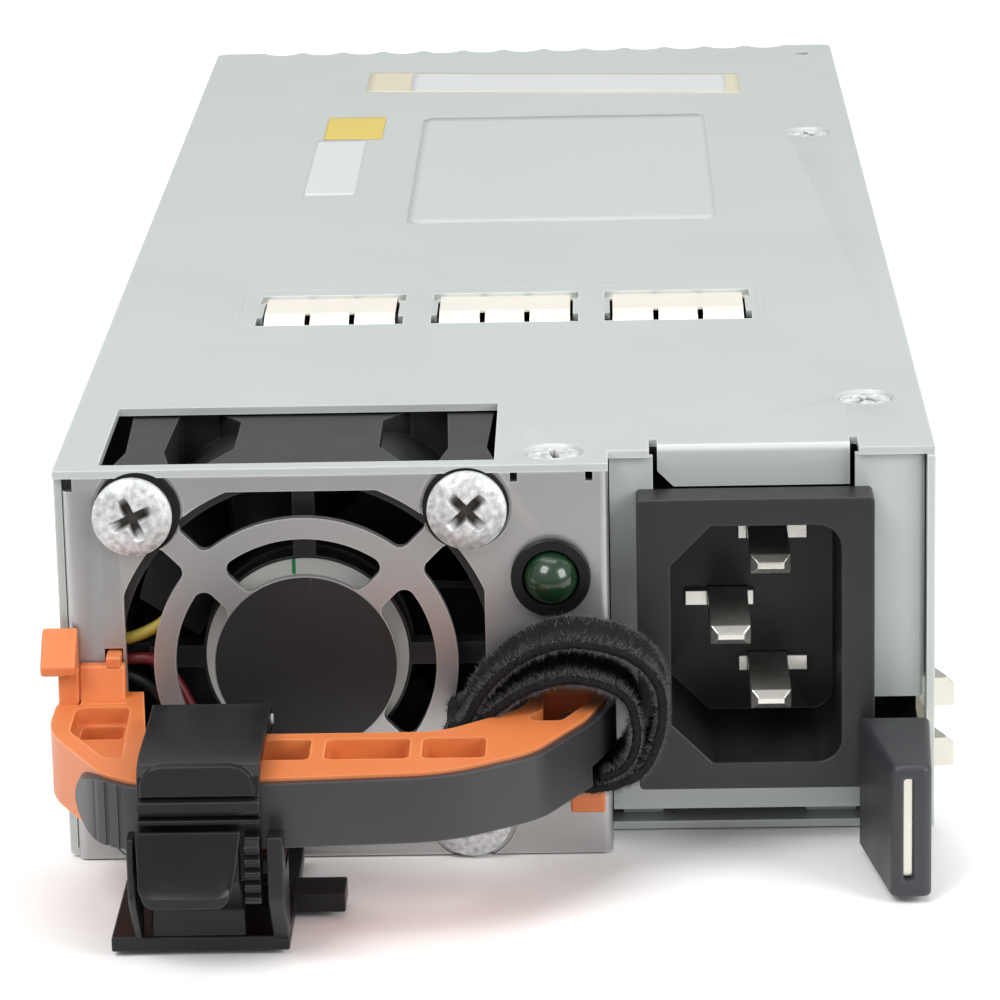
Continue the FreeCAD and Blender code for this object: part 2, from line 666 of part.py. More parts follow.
def inlet_body():
    """Moulded mains inlet: a deep flange, a snap-in body and the keyed socket."""
    body = new_body("inlet_body")
    x, z, y = INLET_X, s.inlet_height, INLET_FRONT
    half_w, half_h = s.inlet_flange_width / 2, s.inlet_flange_height / 2
    pad(body, "front", y, [rectangle(x - half_w, z - half_h, x + half_w, z + half_h)], s.inlet_flange_depth)
    rear_w, rear_h = s.inlet_body_width / 2, s.inlet_body_height / 2
    pad(body, "front", s.bracket_step, [rectangle(x - rear_w, z - rear_h, x + rear_w, z + rear_h)],
        s.inlet_depth - s.inlet_flange_depth)
    outline = cavity_outline(x, z, s.cavity_width / 2, s.cavity_height / 2, s.cavity_chamfer)
    cut(body, "front", y - 0.5, [outline], s.cavity_depth + 0.5)
    inner = x + s.cavity_width / 2
    round_edges(body, 2.4, lambda m, d, e: along(d, 1) and close(m.x, inner)
                and close(abs(m.z - float(z)), s.cavity_height / 2))
    for px, pz in INLET_PINS:
        slot = rectangle(px - s.pin_width / 2, pz - s.pin_thickness / 2,
                         px + s.pin_width / 2, pz + s.pin_thickness / 2)
        cut(body, "front", CAVITY_FLOOR - 0.5, [slot], s.inlet_depth)
    round_edges(body, 0.5, lambda m, d, e: along(d, 1) and m.y < float(s.bracket_step)
                and close(abs(m.x - float(x)), half_w))
    return finish(body, "inlet_body")


INLET_PINS = ((EARTH_PIN_X, s.inlet_height), (LINE_PIN_X, s.inlet_height + s.pin_spacing / 2),
              (LINE_PIN_X, s.inlet_height - s.pin_spacing / 2))


EARTH_LEAD = 0.8


def inlet_pin(label, x, z, lead, shift):
    """Flat pin with a bevelled tip, two shoulders on the socket's floor and a tab behind."""
    body = new_body(label)
    half_w, half_t = s.pin_width / 2, s.pin_thickness / 2
    tip = INLET_FRONT + s.pin_recess - lead
    back = INLET_FRONT + s.inlet_depth
    pad(body, "front", tip, [rectangle(x - half_w, z - half_t, x + half_w, z + half_t)], back - tip)
    shoulder = rectangle(x - half_w - 1.5 + shift, z - 0.8, x + half_w + 1.5 + shift, z + 0.8)
    pad(body, "front", CAVITY_FLOOR - 0.8, [shoulder], 0.8)
    pad(body, "front", back, [rectangle(x - half_w, z - 0.4, x + half_w, z + 0.4)], 6)
    round_edges(body, 0.7, lambda m, d, e: close(m.y, tip), "Chamfer")
    return body


def status_light():
    """Black bezel pushed into the plate, and the green dome inside it."""
    x, z = s.light_x, s.light_height
    collar = rod("y", x, -0.9, z, s.bezel_radius, 0.9)
    sleeve = rod("y", x, 0, z, s.bezel_radius - 0.8, 6)
    bore = rod("y", x, -2, z, s.light_radius + 0.1, 10)
    finish(minus(fuse([collar, sleeve]), bore), "light_bezel")
    stem = rod("y", x, -0.6, z, s.light_radius, 7.5)
    ball = doc.addObject("Part::Sphere", "Sphere")
    bind(ball, "Radius", s.light_radius)
    bind(ball, "Placement.Base.x", x)
    bind(ball, "Placement.Base.y", -0.6)
    bind(ball, "Placement.Base.z", z)
    finish(fuse([stem, ball]), "light_lens")
    card = box(x - 3.4, 6.9, z - 5, 6.8, 1.0, 10)
    finish(card, "light_board")


# ---- fan ----

MOTOR_FRONT = FAN_FRONT + 1.9
MOTOR_PLATE = dim(2.5)
ROTOR_FRONT = MOTOR_FRONT + MOTOR_PLATE + 0.8
ROTOR_BACK = FAN_BACK - 2.4
TUBE_RADIUS = s.shaft_radius + 2.2
BEARING_RADIUS = s.shaft_radius + 1.4
TUBE_LENGTH = 13


def fan_frame():
    """Square fan housing: two flanges joined by a thin duct, and the motor plate on four struts."""
    body = new_body("fan_frame")
    x, z, half = FAN_X, FAN_Z, s.fan_size / 2
    square = rectangle(x - half, z - half, x + half, z + half)
    pad(body, "front", FAN_FRONT, [square], s.fan_flange)
    pad(body, "front", FAN_FRONT, [(x, z, half)], s.fan_depth)
    pad(body, "front", FAN_BACK - s.fan_flange, [square], s.fan_flange)
    near, far = FAN_FRONT + s.fan_flange, FAN_BACK - s.fan_flange
    flat = [(x - 9.8, near), (x + 9.8, near), (x + 7.2, near + 6), (x + 7.2, far - 4), (x + 9.8, far),
            (x - 9.8, far), (x - 7.2, far - 4), (x - 7.2, near + 6)]
    posts = []
    for side in (-1, 1):
        mid = x + side * s.fan_pitch / 2
        posts.append([(mid - 2.8, near), (mid + 2.8, near), (mid + 1.9, near + 5), (mid + 2.4, far),
                      (mid - 2.4, far), (mid - 1.9, near + 5)])
    for low, length in ((z + 13.4, half - 13.4), (z - half, half - 13.4)):
        pad(body, "top", low, [flat] + posts, length)
    cut(body, "front", FAN_FRONT - 0.5, [(x, z, s.fan_bore)], s.fan_depth + 1)
    pad(body, "front", MOTOR_FRONT, [(x, z, s.hub_radius - 0.1)], MOTOR_PLATE)
    inner, outer = s.hub_radius - 1, s.fan_bore + 0.3
    half_strut = 1.1
    struts = [rectangle(x + inner, z - half_strut, x + outer, z + half_strut),
              rectangle(x - outer, z - half_strut, x - inner, z + half_strut),
              rectangle(x - half_strut, z + inner, x + half_strut, z + outer),
              rectangle(x - half_strut, z - outer, x + half_strut, z - inner)]
    for strut in struts:
        pad(body, "front", MOTOR_FRONT, [strut], MOTOR_PLATE)
    pad(body, "front", MOTOR_FRONT + MOTOR_PLATE, [(x, z, TUBE_RADIUS)], TUBE_LENGTH)
    cut(body, "front", MOTOR_FRONT + 0.8, [(x, z, BEARING_RADIUS + 0.02)], MOTOR_PLATE + TUBE_LENGTH)
    for sx, sz in CORNERS:
        hole = (x + sx * s.fan_pitch / 2, z + sz * s.fan_pitch / 2, s.fan_hole)
        cut(body, "front", FAN_FRONT - 0.5, [hole], s.fan_depth + 1)
    lead_notch = rectangle(x - half - 0.5, LEAD_LOW - 1, x - half + 3.4, LEAD_LOW + 5)
    cut(body, "front", FAN_FRONT - 0.5, [lead_notch], 3.6)
    return finish(body, "fan_frame")


LEAD_LOW = FAN_Z - 1.2
LEAD_RADIUS = 0.6
LEAD_GAP = 1.55
PLUG_GAP = 2.0


def blade_profile(radius, angle, chord):
    """Flat section of a blade, square to the radius and pitched to the axis."""
    half_c, half_t = chord / 2, float(s.blade_thickness) / 2
    tilt = math.radians(angle)
    corners = []
    for u, v in ((-half_c, -half_t), (half_c, -half_t), (half_c, half_t), (-half_c, half_t)):
        corners.append(FreeCAD.Vector(u * math.sin(tilt) + v * math.cos(tilt),
                                      u * math.cos(tilt) - v * math.sin(tilt), radius))
    return Part.makePolygon(corners + corners[:1])


def fan_blades():
    """Twisted blades between the hub and the duct."""
    hub, tip = float(s.hub_radius), float(s.fan_bore - s.tip_gap)
    depth = float(ROTOR_BACK - ROTOR_FRONT)
    axis = FreeCAD.Vector(0, 1, 0)
    middle = spot(FAN_X, (ROTOR_FRONT + ROTOR_BACK) / 2, FAN_Z)
    sleeve = Part.makeCylinder(tip, depth, FreeCAD.Vector(0, -depth / 2, 0), axis)
    core = Part.makeCylinder(hub - 0.5, depth, FreeCAD.Vector(0, -depth / 2, 0), axis)
    space = sleeve.cut(core)
    twisted = Part.makeLoft([blade_profile(hub - 1.5, 48, depth * 0.95),
                             blade_profile(tip + 1.5, 62, depth * 0.95)], True, True)
    blade = twisted.common(space)
    blades = []
    for number in range(int(float(s.blade_count))):
        copy = blade.copy()
        copy.rotate(FreeCAD.Vector(0, 0, 0), axis, number * 360 / float(s.blade_count))
        copy.translate(middle)
        blades.append(drawn(copy))
    return blades


def fan_rotor():
    """Hub cup with its blades and the shaft that runs in the motor's bearings."""
    x, z = FAN_X, FAN_Z
    cup = minus(rod("y", x, ROTOR_FRONT, z, s.hub_radius, ROTOR_BACK - ROTOR_FRONT),
                rod("y", x, ROTOR_FRONT - 1, z, s.hub_radius - 1, ROTOR_BACK - ROTOR_FRONT - 0.2))
    shaft = rod("y", x, MOTOR_FRONT + 1.2, z, s.shaft_radius, ROTOR_BACK - MOTOR_FRONT - 1.8)
    return finish(fuse([cup, shaft] + fan_blades()), "fan_rotor")


def fan_fittings():
    """Motor coil, bearings, label, guard sticker and the four screws."""
    x, z = FAN_X, FAN_Z
    seat = MOTOR_FRONT + MOTOR_PLATE
    stack = rod("y", x, seat + 1.2, z, s.hub_radius - 2, 9.6)
    hole = rod("y", x, seat, z, TUBE_RADIUS + 0.03, 14)
    gaps = [box(x - s.hub_radius, seat + 1, z - 0.7, 5.4, 10, 1.4),
            box(x + s.hub_radius - 5.4, seat + 1, z - 0.7, 5.4, 10, 1.4),
            box(x - 0.7, seat + 1, z - s.hub_radius, 1.4, 10, 5.4),
            box(x - 0.7, seat + 1, z + s.hub_radius - 5.4, 1.4, 10, 5.4)]
    finish(minus(stack, hole, *gaps), "fan_coil")
    rings = []
    for place in (MOTOR_FRONT + 1.2, seat + 10.2):
        ring = rod("y", x, place, z, BEARING_RADIUS, 2.6)
        rings.append(minus(ring, rod("y", x, place - 1, z, s.shaft_radius + 0.05, 5)))
    finish(group(rings), "fan_bearings")
    finish(rod("y", x, MOTOR_FRONT - 0.12, z, s.hub_radius - 0.4, 0.12), "fan_label")
    finish(rod("y", x, -0.12, z, s.disc_radius - 0.1, 0.12), "guard_sticker")
    screws = []
    for sx, sz in CORNERS:
        cx, cz = x + sx * s.fan_pitch / 2, z + sz * s.fan_pitch / 2
        rim = rod("y", cx, -0.8, cz, s.fan_screw_head, 0.75)
        boss = rod("y", cx, -0.1, cz, s.fan_screw_head - 0.8, s.dimple_depth + 0.1)
        dome = rod("y", cx, -1.75, cz, s.fan_screw_head - 1.1, 0.95, s.fan_screw_head)
        shank = rod("y", cx, s.dimple_depth, cz, s.fan_hole - 0.05, 9)
        cross = [box(cx - 2, -2, cz - 0.45, 4, 1.5, 0.9), box(cx - 0.45, -2, cz - 2, 0.9, 1.5, 4)]
        screws.append(minus(fuse([rim, boss, dome, shank]), *cross))
    finish(group(screws), "fan_screws")


def fan_leads():
    """Three leads from the motor, round the fan's left side to a connector on the board."""
    side = FAN_X - s.fan_size / 2
    lane = side - 1.7
    plug_x, plug_y, plug_z = lane + 3.4, FAN_BACK + 9.5, BOARD_TOP + 5.2
    for row, colour in enumerate(("black", "red", "yellow")):
        z = LEAD_LOW + row * LEAD_GAP
        y = MOTOR_FRONT - 0.8
        points = [spot(FAN_X - s.hub_radius + 1.5, y, z), spot(side + 1.2, y, z), spot(lane, y + 2.4, z),
                  spot(lane, FAN_FRONT + 16, z + 0.6), spot(lane, FAN_BACK + 1.5, z - 2 + row * 0.45),
                  spot(plug_x + row * PLUG_GAP, FAN_BACK + 5.6, plug_z),
                  spot(plug_x + row * PLUG_GAP, plug_y, plug_z)]
        radii = [0, 2.4, 2.2, 30, 8, 5, 0]
        finish(drawn(tube(points, radii, LEAD_RADIUS)), "fan_lead_" + colour)
    shell = box(plug_x - 1.6, plug_y, BOARD_TOP + 2.0, 2 * PLUG_GAP + 3.2, 6, 5.2)
    header = box(plug_x - 2.2, plug_y + 0.6, BOARD_TOP, 2 * PLUG_GAP + 4.4, 5.8, 2.0)
    finish(fuse([shell, header]), "fan_plug")


# ---- release latch ----

STRIP_X = HALF_WIDTH - 4.2
STRIP_TIP = 1 - s.cap_reach


def latch_leaf():
    """Spring leaf along the right wall, with two teeth out through the wall and a strip for the cap."""
    body = new_body("latch_leaf")
    x, t = LEAF_X, s.leaf_thickness
    plan = [(x, s.leaf_pivot - 0.3), (x, -0.3), (STRIP_X, -2.6), (STRIP_X, STRIP_TIP),
            (STRIP_X + t, STRIP_TIP), (STRIP_X + t, -3.1), (x + t, -0.8), (x + t, s.leaf_pivot - 0.3)]
    pad(body, "top", s.leaf_bottom, [plan], s.leaf_height)
    top = s.leaf_bottom + s.leaf_height
    crest = TOOTH_LOWS[1] + s.tooth_height
    pad(body, "top", top, [rectangle(x, 6.5, x + t, 15.6)], crest - top)
    for low in TOOTH_LOWS:
        ramp = [(x + t, 6.5), (x + t + s.tooth_reach, 6.8), (x + t + s.tooth_reach, 7.8), (x + t, 15.4)]
        pad(body, "top", low, [ramp], s.tooth_height)
        crown = low + s.tooth_height
        round_edges(body, 0.8, lambda m, d, e, c=crown: close(m.z, c)
                    and m.x > float(x + t) + 0.3 and not along(d, 0) and m.y > 7, "Chamfer")
    return finish(body, "latch_leaf")


def latch_cap():
    """Moulded thumb cap on the leaf's strip, narrower at its front."""
    body = new_body("latch_cap")
    right = HALF_WIDTH - 0.8
    left = right - s.cap_width
    front = -s.cap_reach
    plan = [(left, -0.3), (left + 2.3, front), (right - 0.8, front), (right, -0.3)]
    pad(body, "top", 0.6, [plan], s.cap_height)
    near, far = STRIP_X - 0.05, STRIP_X + s.leaf_thickness + 0.05
    slot = [(near, front - 0.5), (far, front - 0.5), (far, -3.2), (right + 1, -0.9), (right + 1, 0),
            (LEAF_X - 0.1, 0), (LEAF_X - 0.1, -0.3), (near, -2.5)]
    cut(body, "top", s.leaf_bottom - 0.1, [slot], s.leaf_height + 0.2)
    round_edges(body, 1.0, lambda m, d, e: along(d, 2) and (close(m.x, left + 2.3) or close(m.x, right - 0.8))
                and close(m.y, front))
    round_edges(body, 0.6, lambda m, d, e: close(m.z, s.cap_height + 0.6) and m.y > float(front) + 1.2
                and m.y < -0.4)
    return finish(body, "latch_cap")


def latch_fixing():
    """Foot of the leaf, riveted to the wall."""
    x, t = LEAF_X, s.leaf_thickness
    plate = box(x, s.leaf_pivot, s.leaf_bottom, t, 10, s.leaf_height)
    holes = [rod("x", x - 1, LATCH_RIVET_Y, z, 1.5, 3) for z in RIVET_HEIGHTS]
    finish(minus(plate, *holes), "latch_foot")
    rivets = []
    for z in RIVET_HEIGHTS:
        shank = rod("x", x, LATCH_RIVET_Y, z, 1.45, HALF_WIDTH - x)
        rivets.append(fuse([shank, rod("x", x - 0.7, LATCH_RIVET_Y, z, 2.1, 0.7)]))
    finish(group(rivets), "latch_rivets")


# ---- pull handle ----

HANDLE_LEFT = -HALF_WIDTH - 0.1
HANDLE_RIGHT = s.bracket_right - 0.4
HANDLE_BACK = dim(-0.3)
STRAP_RELIEF = 1.4
GRIP_GROOVES = ((5.5, -25.1), (6.9, -26.2), (8.2, -27.2))


def front_path():
    """Corners and radii of the handle's front edge, from the left side round to the right arm."""
    left, right = HANDLE_LEFT, HANDLE_RIGHT
    corners = [(left, -12), (left + 6.3, 2.8 - BAR_FRONT), (left + 10, -BAR_FRONT),
               (right - 15.2, 2.0 - BAR_FRONT), (right - 7, 7.6 - BAR_FRONT), (right - 2.2, -10.6),
               (right, -4.2)]
    return corners, [15, 7, 5, 14, 9, 8, 5]


def at_height(corners, z):
    """Lift plan corners to a height."""
    return [spot(x, y, z) for x, y in corners]


def upright(corners, radii, low, high):
    """A solid that stands on a rounded plan outline, between two heights."""
    return prism(at_height(corners, low), radii, FreeCAD.Vector(0, 0, float(dim(high) - low)))


def handle_solid():
    """The handle's outer form, before its pockets."""
    left, right, back = HANDLE_LEFT, HANDLE_RIGHT, HANDLE_BACK
    corners, radii = front_path()
    inner = [(right, back), (right - s.arm_width, back), (right - s.arm_width, -6.6),
             (right - 16, -s.bar_rear), (left + 9.6, -s.bar_rear), (left + 8.2, back), (left, back)]
    solid = upright(corners + inner, radii + [0, 0, 6, 7, 1, 0, 0], HANDLE_LOW, s.handle_top)
    foot = rectangle(right - 3.8, -1.1, right, back)
    solid = solid.fuse(upright(foot, [0.4, 0.4, 0, 0], HANDLE_LOW - 3.6, HANDLE_LOW + 1.5))
    # the hook beside the left wall, and the upstand that leans on the plate
    hook = [(left - 1.5, 8), (left - 1.5, -3.6), (left + 2.3, -3.6), (left + 2.3, back), (left, back),
            (left, 8)]
    solid = solid.fuse(upright(hook, [0.6, 1.2, 1.2, 0, 0, 0.6], s.handle_top - 0.4, s.handle_top + 6.8))
    profile = ((back, -0.5), (-4.2, -0.5), (-3.8, 0.2), (-1.4, 3.2), (back, 3.2))
    wedge = [spot(left + 2.2, y, s.handle_top + rise) for y, rise in profile]
    solid = solid.fuse(prism(wedge, [0, 0, 0.6, 0.5, 0], FreeCAD.Vector(4.6, 0, 0)))
    x0, z0, x1, z1 = TAB_SLOT
    tab = rectangle(x0 + 0.1, -1.7, x1 - 0.1, s.bracket_sheet - 0.05)
    return solid.fuse(upright(tab, [0.4, 0.4, 0, 0], z0 - 0.2 + 0.3, z1 - 0.1))


def handle_pockets():
    """Recesses moulded into the handle's top."""
    left, right, top = HANDLE_LEFT, HANDLE_RIGHT, s.handle_top
    over = top + 1
    pockets = []
    shallow = [(left + 2.1, -5), (left + 2.1, -12), (left + 6.2, 7.2 - BAR_FRONT),
               (left + 7.9, 7.2 - BAR_FRONT), (left + 7.3, -5)]
    pockets.append(upright(shallow, [1, 4, 1.4, 1.2, 1], top - 1.8, over))
    deep = rectangle(left + 2.7, -9.4, left + 6.9, -5.6)
    pockets.append(upright(deep, [0.6] * 4, top - 4.2, over))
    front, rear = 6.0 - BAR_FRONT, -s.bar_rear - 1.8
    for start, end in ((11.8, 25.6), (27.0, 35.0), (36.2, 42.2)):
        pockets.append(upright(rectangle(left + start, front, left + end, rear), [0.7] * 4, top - 4, over))
    arm = [(right - 6.2, -2.2), (right - 1.6, -2.2), (right - 1.6, -5.0), (right - 4.3, -10.8),
           (right - 8.2, -10.8), (right - 6.2, -7.2)]
    pockets.append(upright(arm, [0.8, 0.8, 1.5, 1, 1, 1], top - 4.2, over))
    return pockets


def pull_handle():
    """Moulded handle that stands out in front of the fan bracket."""
    solid = handle_solid()
    for pocket in handle_pockets():
        solid = solid.cut(pocket)
    solid = solid.cut(Part.makeBox(16, 9.3, STRAP_RELIEF, spot(HANDLE_RIGHT - 14, -10.5, HANDLE_LOW)))
    for hx, hz in HANDLE_SCREWS:
        pilot = Part.makeCylinder(0.95, 6, spot(hx, -5.6, hz), FreeCAD.Vector(0, 1, 0))
        solid = solid.cut(pilot)
    finish(drawn(solid), "pull_handle")
    screws = []
    for hx, hz in HANDLE_SCREWS:
        shank = rod("y", hx, -5.2, hz, 0.9, 5.2 + s.bracket_sheet)
        head = rod("y", hx, s.bracket_sheet, hz, 1.9, 1.3)
        screws.append(minus(fuse([shank, head]), box(hx - 1.2, s.bracket_sheet + 0.7, hz - 0.3, 2.4, 1, 0.6)))
    finish(group(screws), "handle_screw")


def band_strip(corners, radii, low, high):
    """A strip of even thickness against the handle's front edge."""
    path = rounded_wire(at_height(corners, low), radii, False)
    strip = path.makeOffset2D(float(s.band_thickness), 0, True, True)
    flat = strip if isinstance(strip, Part.Face) else Part.Face(strip.Wires)
    return flat.extrude(FreeCAD.Vector(0, 0, float(dim(high) - low)))


def grip_band():
    """Soft black band round the handle's front edge, relieved where the strap passes under the arm."""
    corners, radii = front_path()
    left, right = HANDLE_LEFT, HANDLE_RIGHT
    start = (left + 4.2, -20.3)
    run = [start] + corners[1:] + [(right, -1.2)]
    low, high = float(HANDLE_LOW - 0.1), float(s.handle_top - 0.3)
    upper = band_strip(run, [0] + radii[1:] + [0], low, high)
    end, radius = float(left) + 3.4, (high - low) / 2
    nose = Part.makeCylinder(radius, 20, spot(end + radius, -36, low + radius), FreeCAD.Vector(0, 1, 0))
    rest = Part.makeBox(70, 40, 8, spot(end + radius, -37, low - 0.5))
    upper = upper.common(nose.fuse(rest))
    for x, y in GRIP_GROOVES:
        upper = upper.cut(Part.makeCylinder(0.32, 8, spot(left + x, y, low - 0.5)))
    relief = Part.makeBox(8, 12, 3.5, spot(right - 4, -11.2, HANDLE_LOW + STRAP_RELIEF - 3))
    return finish(drawn(upper.cut(relief)), "grip_band")


# ---- strap and cord clamp ----

def hook_and_loop_strap():
    """Cord strap wrapped twice round the handle's right arm."""
    low, high = HANDLE_LOW - 1.2, s.light_height - s.light_radius - 0.2
    left, right = HANDLE_RIGHT - 15.8, HANDLE_RIGHT + 5.8
    y0, y1 = dim(-1.5) - s.strap_width, dim(-1.5)
    thick = 2 * s.strap_thickness + 0.4
    outer = [(left + 4.5, low), (right - 4.5, low), (right, low + 5), (right, high - 5), (right - 7, high),
             (left + 7, high), (left, high - 6), (left, low + 5)]
    rise = STRAP_RELIEF + 0.9
    inner = [(left + 4.2, low + rise), (right - 5.0, low + rise), (right - thick, low + rise + 3.4),
             (right - thick, high - 6), (right - 8, high - thick), (left + 8, high - thick),
             (left + thick, high - 7), (left + thick, low + rise + 3.4)]

    def loop(corners, radii, front, back):
        points = [spot(x, front, z) for x, z in corners]
        return prism(points, radii, FreeCAD.Vector(0, float(back - front), 0))

    ring = loop(outer, [6, 6, 6, 8, 8, 8, 8, 6], y0, y1)
    hole = loop(inner, [3.5, 3.5, 3.5, 5, 5, 5, 5, 3.5], y0 - 1, y1 + 1)
    return finish(drawn(ring.cut(hole)), "hook_and_loop_strap")


CLAMP_LEFT, CLAMP_RIGHT = dim(-36.3), dim(-19.5)
LADDER_LEFT = dim(-33.0)
LADDER_RIGHT = LADDER_LEFT + s.clamp_strap_width
LADDER_FRONT = dim(-1.3) - BAR_FRONT - s.clamp_strap_thickness
POST_Y = dim(1.1) - s.bar_rear
CLAMP_HINGE_Z = s.handle_top + 0.9
RELEASE_Y = LADDER_FRONT - 1.9
RELEASE_Z = HANDLE_LOW + 1.4


def clamp_base():
    """Plate under the bar with a rear post, a head that takes the ladder, two cheeks and a peg."""
    body = new_body("clamp_base")
    left, right, t = CLAMP_LEFT, CLAMP_RIGHT, s.clamp_plate
    low = dim(0.3)
    head_back = LADDER_FRONT + s.clamp_strap_thickness + 0.3
    rear = dim(-2.1)
    pad(body, "top", low, [rectangle(left, head_back, right, rear)], t)
    post_high = CLAMP_HINGE_Z - 0.2
    pad(body, "top", low + t - 0.2, [rectangle(LADDER_LEFT, POST_Y, LADDER_RIGHT, POST_Y + 1.6)],
        post_high - low - t + 0.2)
    pad(body, "side", LADDER_LEFT, [(POST_Y + 0.8, CLAMP_HINGE_Z, 1.3)], s.clamp_strap_width)
    gap = rectangle(LADDER_LEFT + 3.2, POST_Y - 2, LADDER_RIGHT - 3.2, POST_Y + 4)
    cut(body, "top", CLAMP_HINGE_Z - 1.9, [gap], 5)
    cut(body, "side", LADDER_LEFT - 1, [(POST_Y + 0.8, CLAMP_HINGE_Z, 0.55)], s.clamp_strap_width + 2)
    riser_high = HANDLE_LOW - 0.6
    pad(body, "top", low + t - 0.2, [rectangle(LADDER_LEFT - 1.2, head_back, right, head_back + 2.4)],
        riser_high - low - t + 0.2)
    for x, crown in ((right - 1.2, HANDLE_LOW + 3), (LADDER_LEFT - 1.3, HANDLE_LOW + 2.4)):
        cheek = [(head_back + 2.4, low), (head_back + 2.4, riser_high), (head_back, riser_high),
                 (head_back, crown), (LADDER_FRONT - 3.2, crown),
                 (LADDER_FRONT - 3.2, HANDLE_LOW - 4), (LADDER_FRONT - 1.4, low + 1.2), (head_back, low)]
        pad(body, "side", x, [cheek], 1.2)
    cut(body, "side", LADDER_LEFT - 2, [(RELEASE_Y, RELEASE_Z, 0.65)], right - LADDER_LEFT + 3)
    shelf = rectangle(LADDER_LEFT - 0.3, LADDER_FRONT - 1.4, right - 0.4, head_back + 0.4)
    pad(body, "top", low + t - 0.2, [shelf], 1.4)
    block = rectangle(LADDER_LEFT + 1.6, LADDER_FRONT - 2.2, LADDER_LEFT + 9.7, LADDER_FRONT - 0.8)
    pad(body, "top", low, [block], 4.7)
    peg = rectangle(right - 0.4, -17, right + 4.8, -12.5)
    pad(body, "top", low + 0.2, [peg], 2.0)
    round_edges(body, 0.7, lambda m, d, e: along(d, 2) and close(m.x, right + 4.8))
    round_edges(body, 1.2, lambda m, d, e: along(d, 2) and close(m.y, rear))
    return finish(body, "clamp_base")


def clamp_strap():
    """Ladder strap that closes over the bar from its hinge pin down into the head."""
    width, thick = float(s.clamp_strap_width), float(s.clamp_strap_thickness)
    hinge = (POST_Y + 0.8, CLAMP_HINGE_Z)
    high = CLAMP_HINGE_Z + 0.5 + thick
    low = s.clamp_plate + 2.6
    front = LADDER_FRONT

    def at(y, z):
        return spot(LADDER_LEFT, y, z)

    outline = [at(hinge[0], high), at(front, high), at(front, low), at(front + thick, low),
               at(front + thick, high - thick), at(hinge[0], high - thick)]
    ribbon = prism(outline, [0, 3.2, 0.4, 0.4, 2.2, 0], FreeCAD.Vector(width, 0, 0))
    knuckle = Part.makeCylinder(1.3, width - 7.2, at(*hinge) + FreeCAD.Vector(3.6, 0, 0),
                                FreeCAD.Vector(1, 0, 0))
    link = Part.makeBox(width - 7.2, 1.6, float(high - CLAMP_HINGE_Z),
                        at(hinge[0] - 0.8, CLAMP_HINGE_Z) + FreeCAD.Vector(3.6, 0, 0))
    solid = ribbon.fuse([knuckle, link])
    notch = Part.makeBox(width, 3, 6, at(hinge[0] - 1.4, CLAMP_HINGE_Z - 3))
    keep = Part.makeBox(width - 7.2, 3, 6, at(hinge[0] - 1.4, CLAMP_HINGE_Z - 3)
                        + FreeCAD.Vector(3.6, 0, 0))
    solid = solid.cut(notch.cut(keep))
    bore = Part.makeCylinder(0.55, width, at(*hinge), FreeCAD.Vector(1, 0, 0))
    solid = solid.cut(bore)
    rungs = []
    for step in range(9):
        z = float(low) + 1.2 + step * 1.35
        rung = [spot(LADDER_LEFT + 1.3, front, z), spot(LADDER_LEFT + 1.3, front, z + 0.9),
                spot(LADDER_LEFT + 1.3, front - 0.45, z)]
        rungs.append(prism(rung, [0, 0, 0], FreeCAD.Vector(width - 2.6, 0, 0)))
    solid = solid.fuse(rungs).removeSplitter()
    finish(drawn(solid), "clamp_strap")
    pin = rod("x", LADDER_LEFT - 0.2, POST_Y + 0.8, CLAMP_HINGE_Z, 0.5, s.clamp_strap_width + 0.4)
    finish(pin, "clamp_pin")


def clamp_release():
    """Thumb tongue in front of the ladder, on its pin between the cheeks."""
    x0, x1 = LADDER_LEFT + 0.2, CLAMP_RIGHT - 1.5
    y, z = RELEASE_Y, RELEASE_Z
    front = LADDER_FRONT - 2.6

    def at(py, pz, x=x0):
        return spot(x, py, pz)

    face = [at(front, z + 1.4), at(front - 0.7, z - 4.7), at(front + 0.5, z - 4.7), at(front + 1.2, z + 1.4)]
    plate = prism(face, [0.3, 0.4, 0.4, 0.3], FreeCAD.Vector(9.6, 0, 0))
    edge = [spot(x0 + a, front - 3, z + b) for a, b in ((0, 2), (0, -4.7), (9.6, -4.7), (9.6, 2))]
    plate = plate.common(prism(edge, [0, 1.6, 1.6, 0], FreeCAD.Vector(0, 6, 0)))
    rail = Part.makeBox(1.7, 1.1, 5.6, spot(x0 + 9.5, front + 0.1, z - 4.2))
    teeth = [Part.makeBox(1.1, 0.5, 0.6, spot(x0 + 9.9, front - 0.3, z - 3.8 + k * 1.2)) for k in range(4)]
    stub = Part.makeCylinder(0.6, float(CLAMP_RIGHT - LADDER_LEFT) + 0.7, at(y, z, LADDER_LEFT - 1.0),
                             FreeCAD.Vector(1, 0, 0))
    barrel = Part.makeCylinder(1.0, float(x1 - x0), at(y, z), FreeCAD.Vector(1, 0, 0))
    pawl = prism([at(y + 0.2, z - 0.8), at(y + 0.9, z - 2.2), at(y - 0.6, z - 2.2), at(y - 0.6, z - 0.4)],
                 [0, 0, 0, 0], FreeCAD.Vector(9.6, 0, 0))
    return finish(drawn(plate.fuse([barrel, pawl, stub, rail] + teeth).removeSplitter()), "clamp_release")


# ---- boards and the converter ----

BOARD_BACK = s.housing_length - s.sheet - 0.3
BOARD_LEFT, BOARD_RIGHT = dim(-41.0), dim(40.0)
KEY_LEFT, KEY_RIGHT = 9.4, 11.2
STANDOFFS = [(dim(x), dim(y)) for x, y in ((-37.5, 52), (36, 40), (-37.5, 138.5), (36, 138.5), (-37.5, 208),
                                           (36, 208))]


